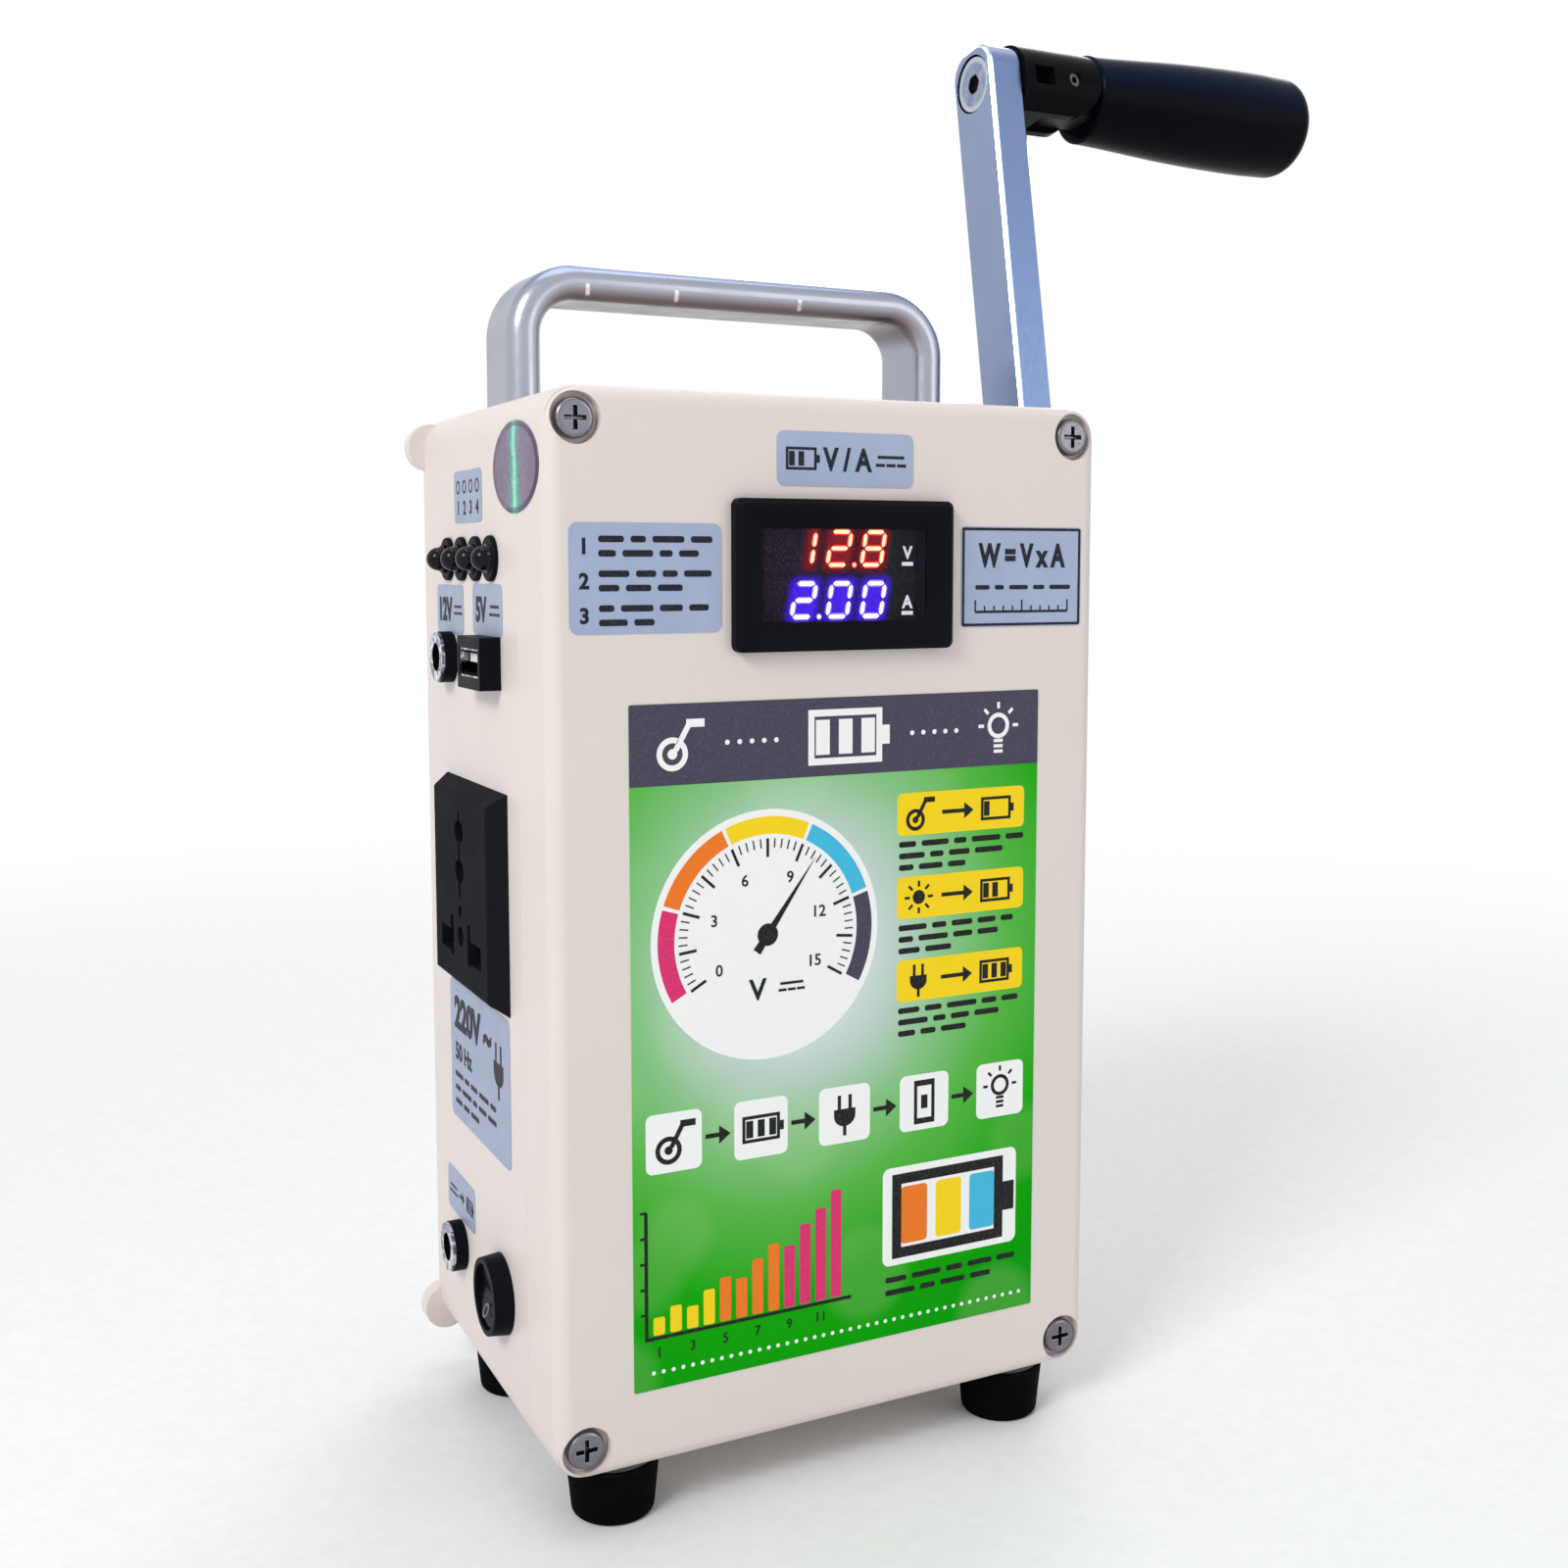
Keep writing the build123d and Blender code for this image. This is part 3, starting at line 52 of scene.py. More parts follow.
# ---- sizes, millimetres
SIDE = 60.5                  # half the box's width
FRONT = -43.5                # the lid's front face
SEAM = -27.8                 # where lid and base meet
DRAFT = math.atan2(1.6, 71.3)
FLOOR = -12.0                # under the feet
LEAN = math.radians(10.0)    # the crank arm's lean
LAMP_Y, LAMP_Z, LAMP_PITCH = 4.9, 174.0, 10.45
KNOCKS = (-34.9, -15.1, 14.1)  # bright knocks along the handle's bar
KNOCK_LOW, KNOCK_HIGH = 227.7, 230.3
BOLT = (13.84, 284.88)         # the arm bolt's axis, y and z
CELL_ENDS = (-19.2, 44.2)      # where the cells' wrap ends
SEAL_U, SEAL_V = 26.7, 190.9   # middle of the oval seal on the left side
SEAL_RU, SEAL_RV = 13.8, 8.6
PALE_U, PALE_V = -10, 98       # middle of the card's pale glow


# ---- node materials
def shade(colour, k):
    """That colour, darker or lighter by a factor."""
    return tuple(min(1, c * k) for c in colour[:3]) + (1,)


def lin(r, g, b):
    """Colour written in 0..255 display values, as linear light."""
    out = []
    for v in (r, g, b):
        c = v / 255.0
        out.append(c / 12.92 if c <= 0.04045 else ((c + 0.055) / 1.055) ** 2.4)
    return (*out, 1.0)


class Mat:
    """A node material that is built up step by step."""

    def __init__(self, name, **fixed):
        self.m = bpy.data.materials.new(name)
        self.m.use_nodes = True
        self.t = self.m.node_tree
        self.b = self.t.nodes["Principled BSDF"]
        for k, v in fixed.items():
            self.b.inputs[k.replace("_", " ")].default_value = v
        self.co = None

    def node(self, kind, **attrs):
        n = self.t.nodes.new(kind)
        for k, v in attrs.items():
            setattr(n, k, v)
        return n

    def put(self, n, key, v):
        if isinstance(v, bpy.types.NodeSocket):
            self.t.links.new(v, n.inputs[key])
        elif v is not None:
            n.inputs[key].default_value = v

    def coords(self):
        if self.co is None:
            self.co = self.node("ShaderNodeTexCoord")
        return self.co.outputs["Object"]

    def mapped(self, scale=(1, 1, 1), rot=(0, 0, 0), loc=(0, 0, 0)):
        n = self.node("ShaderNodeMapping")
        self.put(n, "Vector", self.coords())
        n.inputs["Scale"].default_value = scale
        n.inputs["Rotation"].default_value = rot
        n.inputs["Location"].default_value = loc
        return n.outputs["Vector"]

    def noise(self, scale, detail=2.0, rough=0.5, vec=None):
        n = self.node("ShaderNodeTexNoise")
        self.put(n, "Vector", vec or self.coords())
        n.inputs["Scale"].default_value = scale
        n.inputs["Detail"].default_value = detail
        n.inputs["Roughness"].default_value = rough
        return n.outputs["Fac"]

    def voronoi(self, scale, vec=None, feature="F1"):
        n = self.node("ShaderNodeTexVoronoi", feature=feature)
        self.put(n, "Vector", vec or self.coords())
        n.inputs["Scale"].default_value = scale
        return n.outputs["Distance"]

    def ramp(self, fac, stops):
        n = self.node("ShaderNodeValToRGB")
        e = n.color_ramp.elements
        while len(e) > 1:
            e.remove(e[-1])
        for i, (p, c) in enumerate(stops):
            el = e[0] if i == 0 else e.new(p)
            el.position = p
            el.color = c
        self.put(n, "Fac", fac)
        return n.outputs["Color"]

    def math(self, op, a, b=None, c=None):
        n = self.node("ShaderNodeMath", operation=op)
        for i, v in enumerate((a, b, c)):
            self.put(n, i, v)
        return n.outputs[0]

    def mix(self, fac, a, b):
        n = self.node("ShaderNodeMix", data_type="RGBA")
        self.put(n, 0, fac)
        self.put(n, 6, a)
        self.put(n, 7, b)
        return n.outputs[2]

    def range(self, v, lo, hi, a, b, smooth=False):
        n = self.node("ShaderNodeMapRange")
        if smooth:
            n.interpolation_type = "SMOOTHSTEP"
        self.put(n, "Value", v)
        for k, x in zip(("From Min", "From Max", "To Min", "To Max"), (lo, hi, a, b)):
            n.inputs[k].default_value = x
        return n.outputs["Result"]

    def split(self, vec):
        n = self.node("ShaderNodeSeparateXYZ")
        self.put(n, 0, vec)
        return n.outputs

    def normal(self):
        """The surface's own direction, in object space."""
        self.coords()
        return self.split(self.co.outputs["Normal"])

    def edges(self, radius_mm, lo=0.02, hi=0.25):
        """1 on sharp edges, 0 on open surface."""
        bev = self.node("ShaderNodeBevel", samples=4)
        bev.inputs["Radius"].default_value = radius_mm * MM
        geo = self.node("ShaderNodeNewGeometry")
        dot = self.node("ShaderNodeVectorMath", operation="DOT_PRODUCT")
        self.put(dot, 0, bev.outputs[0])
        self.put(dot, 1, geo.outputs["Normal"])
        off = self.math("SUBTRACT", 1.0, dot.outputs["Value"])
        return self.range(off, lo, hi, 0, 1)

    def bump(self, height, strength, mm, round_mm=0.0):
        n = self.node("ShaderNodeBump")
        n.inputs["Strength"].default_value = strength
        n.inputs["Distance"].default_value = mm * MM
        self.put(n, "Height", height)
        if round_mm:
            bev = self.node("ShaderNodeBevel", samples=4)
            bev.inputs["Radius"].default_value = round_mm * MM
            self.put(n, "Normal", bev.outputs[0])
        return n.outputs["Normal"]

    def set(self, **links):
        for k, v in links.items():
            self.put(self.b, k.replace("_", " "), v)
        return self.m


def moulded(name, colour, vary=0.04, rough=(0.34, 0.46), grain=1400, grain_mm=0.02,
            round_mm=0.25, scuff_sheen=0.0, scuff_sheen_colour=(0.4, 0.4, 0.4, 1), **fixed):
    """Moulded plastic: faint cloudiness, a fine spark-eroded grain and softened edges."""
    m = Mat(name, **fixed)
    cloud = m.noise(28, 4, 0.6)
    base = m.ramp(cloud, [(0.3, shade(colour, 1 - vary)), (0.7, shade(colour, 1 + vary))])
    fine = m.noise(grain, 3, 0.6)
    wide = m.noise(90, 3, 0.55)
    r = m.range(m.math("ADD", m.math("MULTIPLY", wide, 0.7), m.math("MULTIPLY", fine, 0.3)),
                0.3, 0.7, rough[0], rough[1])
    # the edge mark is partly scuffing and partly a painted highlight along the edges
    if scuff_sheen:
        edge_mark = m.math("MULTIPLY", m.edges(0.5), m.range(m.noise(260, 3, 0.6), 0.42, 0.62, 0, scuff_sheen))
        base = m.mix(edge_mark, base, scuff_sheen_colour)
    return m.set(Base_Color=base, Roughness=r,
                 Normal=m.bump(fine, 0.35, grain_mm, round_mm=round_mm))


def metal(name, colour, rough=(0.22, 0.36), brush=None, tint=None, round_mm=0.15, spots=0.0,
          edge_highlight=0.0):
    """Bare or plated metal, brushed along one direction or evenly satin."""
    m = Mat(name, Metallic=1.0)
    tint = tint or shade(colour, 0.86)
    if brush:
        vec = m.mapped(brush)
        lines = m.noise(1.0, 5, 0.65, vec)
        fine = m.noise(3.1, 4, 0.7, vec)
        fine = m.math("MULTIPLY_ADD", lines, 0.6, m.math("MULTIPLY", fine, 0.4))
    else:
        fine = m.noise(1900, 3, 0.6)
    wide = m.noise(34, 4, 0.6)
    base = m.mix(m.range(m.math("MULTIPLY_ADD", wide, 0.65, m.math("MULTIPLY", fine, 0.35)),
                         0.35, 0.68, 0, 1), colour, tint)
    r = m.range(m.math("MULTIPLY_ADD", wide, 0.4, m.math("MULTIPLY", fine, 0.6)),
                0.3, 0.7, rough[0], rough[1])
    if spots:
        dots = m.range(m.voronoi(520), 0.06, 0.16, spots, 0)
        base = m.mix(dots, base, shade(colour, 0.55))
    # painted highlight: a near-white colour along the edges
    if edge_highlight:
        base = m.mix(m.math("MULTIPLY", m.edges(0.35), edge_highlight), base, (0.93, 0.93, 0.94, 1))
    return m.set(Base_Color=base, Roughness=r, Normal=m.bump(fine, 0.35, 0.008, round_mm=round_mm))


def arm_metal():
    """Satin flat bar: fine lines along the arm, a painted highlight on its chamfers and painted shade on
    the face that looks to the front.
    """
    m = Mat("arm_satin", Metallic=1.0)
    vec = m.mapped((1500, 2600, 26), (LEAN, 0, 0))
    lines = m.noise(1.0, 5, 0.62, vec)
    wide = m.noise(30, 4, 0.6)
    base = m.mix(m.range(wide, 0.3, 0.7, 0, 1), lin(139, 153, 184), lin(147, 160, 190))
    base = m.mix(m.range(lines, 0.35, 0.7, 0, 0.22), base, lin(118, 132, 166))
    nx, ny, nz = m.normal()[:3]
    sin, cos = math.sin(LEAN), math.cos(LEAN)
    along = m.math("ADD", m.math("MULTIPLY", ny, sin), m.math("MULTIPLY", nz, cos))
    cross = m.math("SUBTRACT", m.math("MULTIPLY", ny, cos), m.math("MULTIPLY", nz, sin))
    flat = m.math("MAXIMUM", m.math("ABSOLUTE", nx),
                  m.math("MAXIMUM", m.math("ABSOLUTE", along), m.math("ABSOLUTE", cross)))
    chamfer_highlight = m.math("MULTIPLY", m.range(flat, 0.995, 0.9, 0, 1),
                 m.range(m.math("ABSOLUTE", nx), 0.2, 0.4, 0, 1))
    # painted shade: the face that looks to the front is darker and bluer
    base = m.mix(m.range(ny, -0.75, -0.95, 0, 0.9), base, lin(108, 128, 168))
    x = m.split(m.coords())[0]
    lo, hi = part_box("crank_arm")
    rim = m.math("MAXIMUM", m.range(x, lo[0] + 0.0004, lo[0] + 0.0006, 1, 0),
                 m.range(x, hi[0] - 0.0006, hi[0] - 0.0004, 0, 1))
    chamfer_highlight = m.math("MULTIPLY", chamfer_highlight, rim)
    # painted highlight: a near-white colour on the chamfers
    base = m.mix(m.math("MULTIPLY", chamfer_highlight, 0.85), base, lin(236, 240, 250))
    rough = m.math("SUBTRACT", m.range(lines, 0.3, 0.7, 0.27, 0.4), m.math("MULTIPLY", chamfer_highlight, 0.12))
    return m.set(Base_Color=base, Roughness=rough, Normal=m.bump(lines, 0.3, 0.006, round_mm=0.12))


def handle_metal():
    """Satin anodised handle with small bright knocks on its front."""
    m = Mat("handle_satin", Metallic=1.0)
    fine = m.noise(2300, 2, 0.5)
    wide = m.noise(22, 4, 0.6)
    base = m.mix(m.range(wide, 0.3, 0.7, 0, 1), lin(162, 164, 176), lin(171, 173, 184))
    _, _, nz = m.normal()[:3]
    # painted reflection and shade: bluer and darker on faces that look up, browner and darker on faces
    # that look down
    base = m.mix(m.range(nz, 0.25, 0.8, 0, 1, smooth=True), base, lin(130, 141, 168))
    base = m.mix(m.range(nz, -0.3, -0.8, 0, 1, smooth=True), base, lin(128, 122, 124))
    x, y, z = m.split(m.coords())[:3]
    middle = (KNOCK_LOW + KNOCK_HIGH) / 2 * MM
    slant = m.math("MULTIPLY_ADD", m.math("SUBTRACT", z, middle), 0.12, x)
    hit = None
    for at in KNOCKS:
        near = m.math("ABSOLUTE", m.math("SUBTRACT", slant, at * MM))
        one = m.range(near, 0.0003, 0.0006, 1, 0)
        hit = one if hit is None else m.math("MAXIMUM", hit, one)
    band = m.math("MULTIPLY", m.range(z, KNOCK_LOW * MM, (KNOCK_LOW + 0.5) * MM, 0, 1),
                  m.range(z, KNOCK_HIGH * MM, (KNOCK_HIGH - 0.5) * MM, 0, 1))
    hit = m.math("MULTIPLY", m.math("MULTIPLY", hit, band), m.range(y, 0.006, 0.005, 0, 1))
    hit = m.math("MULTIPLY", hit, m.range(m.noise(900, 3, 0.7), 0.34, 0.5, 0.2, 1))
    base = m.mix(hit, base, lin(253, 253, 255))
    height = m.math("SUBTRACT", fine, m.math("MULTIPLY", hit, 2.0))
    return m.set(Base_Color=base, Roughness=m.range(m.noise(120, 3, 0.6), 0.3, 0.7, 0.22, 0.33),
                 Normal=m.bump(height, 0.3, 0.01))


def rubber(name, colour, dust=0.0):
    m = Mat(name, Specular_IOR_Level=0.02)
    base = m.ramp(m.noise(60, 4, 0.6), [(0.3, shade(colour, 0.8)), (0.7, colour)])
    if dust:
        patch = m.range(m.noise(170, 4, 0.7), 0.45, 0.68, 0, dust)
        edge_mark = m.math("MULTIPLY", patch, m.edges(1.2, 0.005, 0.2))
        base = m.mix(edge_mark, base, lin(96, 94, 92))
    pits = m.noise(900, 4, 0.65)
    return m.set(Base_Color=base, Roughness=m.range(pits, 0.3, 0.7, 0.6, 0.82),
                 Normal=m.bump(pits, 0.5, 0.04, round_mm=0.4))


def gloss_black(name, colour, flow_scale, rough, spec, top=None):
    """Polished black plastic with faint flow lines and hairline scratches."""
    m = Mat(name, Specular_IOR_Level=spec)
    flow = m.noise(1.0, 4, 0.6, m.mapped(flow_scale))
    hair = m.noise(1.0, 2, 0.5, m.mapped((2600, 160, 160), (0.3, 0.2, 0.5)))
    base = m.ramp(m.noise(40, 3, 0.5), [(0.3, shade(colour, 0.75)), (0.7, colour)])
    # top: painted reflection, a bluer tone on faces that look up
    if top:
        base = m.mix(m.range(m.normal()[2], -0.1, 0.5, 0, 1, smooth=True), base, top)
    r = m.range(m.math("ADD", m.math("MULTIPLY", flow, 0.6), m.math("MULTIPLY", hair, 0.4)),
                0.35, 0.68, rough[0], rough[1])
    return m.set(Base_Color=base, Roughness=r, Normal=m.bump(flow, 0.12, 0.012, round_mm=0.2))


def board_material():
    m = Mat("circuit_board", Roughness=0.35)
    tracks = m.voronoi(260, feature="DISTANCE_TO_EDGE")
    weave = m.noise(800, 3, 0.6)
    base = m.mix(m.range(tracks, 0.03, 0.06, 1, 0), lin(18, 84, 44), lin(34, 120, 66))
    base = m.mix(m.range(weave, 0.4, 0.7, 0, 0.25), base, lin(12, 60, 30))
    return m.set(Base_Color=base, Normal=m.bump(tracks, 0.3, 0.03))


def cells_material():
    m = Mat("cell_wrap", Coat_Weight=0.3, Coat_Roughness=0.1)
    x = m.split(m.coords())[0]
    left, right = CELL_ENDS
    cap = m.math("MAXIMUM", m.range(x, left * MM, (left - 0.3) * MM, 0, 1),
                 m.range(x, right * MM, (right + 0.3) * MM, 0, 1))
    base = m.ramp(m.noise(45, 3, 0.5), [(0.3, lin(22, 84, 168)), (0.7, lin(34, 104, 190))])
    base = m.mix(cap, base, lin(196, 198, 200))
    return m.set(Base_Color=base, Roughness=m.range(m.noise(300, 3, 0.6), 0.3, 0.7, 0.2, 0.38),
                 Normal=m.bump(m.noise(600, 3, 0.6), 0.2, 0.02))


def window_material():
    """Dark purple tinted window; what is lit behind it shows through."""
    m = Mat("tinted_window", Specular_IOR_Level=0.12, Alpha=0.4)
    base = m.ramp(m.noise(180, 3, 0.6), [(0.3, lin(22, 12, 28)), (0.7, lin(32, 20, 40))])
    return m.set(Base_Color=base, Roughness=m.range(m.noise(500, 2, 0.5), 0.3, 0.7, 0.08, 0.16),
                 Normal=m.bump(m.noise(240, 2, 0.5), 0.05, 0.02))


def display_material():
    """Potted face of the digit blocks: near black, with a fine dot grid."""
    m = Mat("display_face", Roughness=0.6, Specular_IOR_Level=0.03)
    grid = m.voronoi(1500)
    base = m.mix(m.range(grid, 0.2, 0.5, 0, 1), lin(116, 80, 128), lin(64, 45, 76))
    return m.set(Base_Color=base, Normal=m.bump(grid, 0.3, 0.02))


def lamp_material():
    m = Mat("smoked_lamp", Coat_Weight=0.36, Coat_Roughness=0.03, Specular_IOR_Level=0.02)
    base = m.ramp(m.noise(300, 2, 0.5), [(0.3, lin(4, 4, 12)), (0.7, lin(9, 9, 20))])
    return m.set(Base_Color=base, Roughness=m.range(m.noise(900, 2, 0.5), 0.3, 0.7, 0.05, 0.12),
                 Normal=m.bump(m.noise(400, 2, 0.5), 0.05, 0.02))


def chrome():
    """Bright plating with painted reflections: broken bands of light and dark set by the surface's
    direction and by noise.
    """
    m = Mat("bright_nickel", Metallic=1.0)
    _, ny, nz = m.normal()[:3]
    # painted reflection: the ramp's light and dark bands follow the surface's direction
    turn = m.math("MULTIPLY_ADD", nz, 0.22, m.math("MULTIPLY", ny, 0.12))
    patch = m.math("ADD", m.noise(260, 2, 0.5), turn)
    base = m.ramp(patch, [(0.30, lin(64, 58, 56)), (0.40, lin(132, 130, 134)),
                          (0.46, lin(236, 238, 244)), (0.51, lin(132, 140, 172)),
                          (0.57, lin(72, 66, 66)), (0.66, lin(206, 208, 216))])
    return m.set(Base_Color=base, Roughness=m.range(m.noise(1400, 2, 0.5), 0.3, 0.7, 0.08, 0.18),
                 Normal=m.bump(m.noise(1400, 2, 0.5), 0.2, 0.004, round_mm=0.15))


def bolt_metal():
    """Plated bolt: painted highlight on its rim, cool face, brown towards the middle where its socket
    is.
    """
    m = Mat("plated_bolt", Metallic=1.0)
    _, y, z = m.split(m.coords())[:3]
    dy, dz = m.math("SUBTRACT", y, BOLT[0] * MM), m.math("SUBTRACT", z, BOLT[1] * MM)
    r = m.math("SQRT", m.math("ADD", m.math("MULTIPLY", dy, dy), m.math("MULTIPLY", dz, dz)))
    wide = m.noise(420, 3, 0.6)
    base = m.mix(m.range(wide, 0.35, 0.65, 0, 1), lin(122, 134, 164), lin(158, 168, 192))
    # painted highlight: a light ring on the head's rim
    rim = m.math("MULTIPLY", m.range(r, 0.0047, 0.0053, 0, 1), m.range(r, 0.0064, 0.0068, 1, 0))
    base = m.mix(rim, base, lin(188, 194, 206))
    base = m.mix(m.range(r, 0.0024, 0.0020, 0, 0.85), base, lin(110, 84, 62))
    fine = m.noise(1900, 3, 0.6)
    return m.set(Base_Color=base, Roughness=m.range(wide, 0.3, 0.7, 0.16, 0.28),
                 Normal=m.bump(fine, 0.3, 0.006, round_mm=0.15))


MATERIALS = {
    "enclosure_plastic": moulded("ivory_abs", lin(226, 215, 209), vary=0.012, rough=(0.36, 0.48),
                                 grain=1300, round_mm=0.35, Specular_IOR_Level=0.3),
    "seal_rubber": rubber("seal_cord", lin(24, 24, 25)),
    # the screw's light edge colour is a painted highlight
    "plated_screw": metal("nickel_screw", lin(138, 140, 152), rough=(0.16, 0.34), spots=0.5,
                          tint=lin(104, 94, 92), edge_highlight=0.35, round_mm=0.2),
    "plated_steel": metal("zinc_plate", lin(170, 171, 170), rough=(0.28, 0.45), spots=0.3),
    "foot_rubber": rubber("foot_rubber", lin(8, 9, 11), dust=0.12),
    # painted shade: the white tape is coloured dark grey, for the shade it lies in under the box
    "tape_white": moulded("foam_tape", lin(92, 92, 92), rough=(0.7, 0.9), grain=2500, grain_mm=0.05),
    "handle_aluminium": handle_metal(),
    # its scuff colour is partly wear and partly a painted highlight on the edges
    "black_plastic": moulded("black_moulding", lin(15, 17, 23), vary=0.14, rough=(0.36, 0.5), grain=2100,
                             scuff_sheen=0.3, scuff_sheen_colour=lin(58, 62, 76), Specular_IOR_Level=0.03),
    "meter_glass": window_material(),
    "display_grey": display_material(),
    "board_green": board_material(),
    "lamp_smoke": lamp_material(),
    "chrome_ring": chrome(),
    "brass_contact": metal("turned_brass", lin(206, 172, 104), rough=(0.2, 0.32), brush=(900, 900, 60)),
    "tongue_white": moulded("port_tongue", lin(244, 244, 242), rough=(0.22, 0.32), grain=1800),
    # its scuff colour is partly wear and partly a painted highlight on the edges
    "socket_plastic": moulded("socket_black", lin(25, 25, 30), vary=0.1, rough=(0.5, 0.62), grain=1500,
                              grain_mm=0.03, scuff_sheen=0.3, scuff_sheen_colour=lin(84, 82, 92),
                              Specular_IOR_Level=0.012),
    "rocker_black": gloss_black("rocker_black", lin(20, 21, 24), (700, 700, 700), (0.16, 0.26), 0.045),
    "bearing_bronze": metal("sintered_bronze", lin(170, 132, 88), rough=(0.35, 0.5), spots=0.6),
    "shaft_steel": metal("ground_steel", lin(180, 182, 187), rough=(0.16, 0.28), brush=(30, 1600, 1600)),
    "arm_aluminium": arm_metal(),
    "bolt_steel": bolt_metal(),
    # its scuff colour is partly wear and partly a painted highlight on the edges
    "block_black": moulded("hinge_black", lin(12, 13, 16), vary=0.12, rough=(0.22, 0.34), grain=1700,
                           grain_mm=0.012, scuff_sheen=0.35, scuff_sheen_colour=lin(66, 70, 80),
                           Specular_IOR_Level=0.025),
    # painted shade: the pin's steel is darkened for the shade in its hollow end
    "pin_steel": metal("spring_pin", lin(92, 94, 102), rough=(0.25, 0.4), brush=(60, 900, 900)),
    "spindle_black": moulded("blackened_casting", lin(24, 25, 27), vary=0.12, rough=(0.4, 0.55),
                             grain=900, grain_mm=0.05, Specular_IOR_Level=0.25),
    # the grip's navy top colour is a painted reflection
    "grip_gloss": gloss_black("grip_black", lin(11, 13, 18), (35, 700, 700), (0.2, 0.3), 0.025,
                              top=lin(10, 24, 46)),
    "gear_nylon": moulded("natural_nylon", lin(226, 221, 204), rough=(0.36, 0.5), grain=700,
                          grain_mm=0.03),
    "plate_aluminium": metal("punched_sheet", lin(176, 179, 184), rough=(0.3, 0.42),
                             brush=(1200, 30, 1200)),
    "magnet_dark": moulded("dark_ferrite", lin(52, 53, 56), vary=0.15, rough=(0.5, 0.65), grain=800,
                           grain_mm=0.06),
    "cell_wrap": cells_material(),
    "coil_tape": moulded("coil_tape", lin(222, 178, 60), vary=0.08, rough=(0.25, 0.4), grain=500),
}
for sub in frame["record"]["subparts"]:
    part = nodes[sub["node"]]
    for slot in part.material_slots:
        slot.material = MATERIALS[sub["material_slot"]]
    if not part.material_slots:
        part.data.materials.append(MATERIALS[sub["material_slot"]])


# ---- printed sheets
def on_front(u, v, w):
    """A point on the lid's front: u to the right, v up, w out of it."""
    return Vector((u, FRONT - w, v)) * MM


def on_left(u, v, w):
    """A point on the left side: u towards the front, v up, w out of it."""
    y = -u
    x = -SIDE - w + max(0.0, y - SEAM) * math.tan(DRAFT)
    return Vector((x, y, v)) * MM


def rounded(u0, v0, u1, v1, r, n=6):
    """Outline of a rectangle with rounded corners."""
    pts = []
    left, right, foot, top = u0 + r, u1 - r, v0 + r, v1 - r
    for cu, cv, a in ((right, top, 0), (left, top, 90), (left, foot, 180), (right, foot, 270)):
        for i in range(n + 1):
            t = math.radians(a + 90 * i / n)
            pts.append((cu + r * math.cos(t), cv + r * math.sin(t)))
    return pts


def disc(u, v, r, n=40):
    return [(u + r * math.cos(2 * math.pi * i / n), v + r * math.sin(2 * math.pi * i / n))
            for i in range(n)]


def bar(u0, v0, u1, v1, width):
    """A straight stroke with square ends."""
    d = Vector((u1 - u0, v1 - v0)).normalized() * (width / 2)
    s = Vector((-d.y, d.x))
    return [(u0 - s.x, v0 - s.y), (u1 - s.x, v1 - s.y), (u1 + s.x, v1 + s.y), (u0 + s.x, v0 + s.y)]


def ring(u, v, r, width, a0=0.0, a1=360.0, n=40):
    """An arc stroke as a run of quads."""
    quads = []
    for i in range(n):
        t0 = math.radians(a0 + (a1 - a0) * i / n)
        t1 = math.radians(a0 + (a1 - a0) * (i + 1) / n)
        c0, s0, c1, s1 = math.cos(t0), math.sin(t0), math.cos(t1), math.sin(t1)
        ro, ri = r + width / 2, r - width / 2
        quads.append([(u + ri * c0, v + ri * s0), (u + ro * c0, v + ro * s0),
                      (u + ro * c1, v + ro * s1), (u + ri * c1, v + ri * s1)])
    return quads


def finish_mesh(name, bm, material, body="enclosure", smooth=False, closed=True):
    """Make the object, on its body and with its slot."""
    me = bpy.data.meshes.new(name)
    if closed:
        bmesh.ops.recalc_face_normals(bm, faces=bm.faces)
    bm.to_mesh(me)
    bm.free()
    me.materials.append(material)
    for p in me.polygons:
        p.use_smooth = smooth
    ob = bpy.data.objects.new(name, me)
    bpy.context.scene.collection.objects.link(ob)
    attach(ob, body)
    return ob


def bridge(bm, loops):
    """Skin between rings of points; a ring of one point closes to it."""
    for a, b in zip(loops, loops[1:]):
        n = max(len(a), len(b))
        for i in range(n):
            j = (i + 1) % n
            face = [a[i % len(a)], b[i % len(b)], b[j % len(b)], a[j % len(a)]]
            bm.faces.new([v for k, v in enumerate(face) if v not in face[:k]])


def prisms(bm, shapes, place, low, high):
    """Closed flat bodies with those outlines, between two heights over the surface."""
    for k, pts in enumerate(shapes):
        under = [bm.verts.new(place(u, v, low)) for u, v in pts]
        over = [bm.verts.new(place(u, v, high + STEP * (k % 6))) for u, v in pts]
        bm.faces.new(over)
        bm.faces.new(under[::-1])
        for i in range(len(pts)):
            j = (i + 1) % len(pts)
            bm.faces.new((under[i], under[j], over[j], over[i]))


def sheet(name, outline, place, material):
    """A thin sheet with that outline, lying on the surface."""
    bm = bmesh.new()
    prisms(bm, [outline], place, 0.0, T)
    finish_mesh(name, bm, material)


def ink(name, shapes, place, tone, w):
    """Printed shapes, a hair thick, whose face is at height w over the surface."""
    bm = bmesh.new()
    prisms(bm, shapes, place, w - INK, w)
    finish_mesh(name, bm, tone)


def light(name, shapes, place, tone, w):
    """Lit shapes: single faces that look outward."""
    bm = bmesh.new()
    outward = place(0, 0, 1) - place(0, 0, 0)
    for pts in shapes:
        face = bm.faces.new([bm.verts.new(place(u, v, w)) for u, v in pts])
        face.normal_update()
        if face.normal.dot(outward) < 0:
            face.normal_flip()
    finish_mesh(name, bm, tone, closed=False)


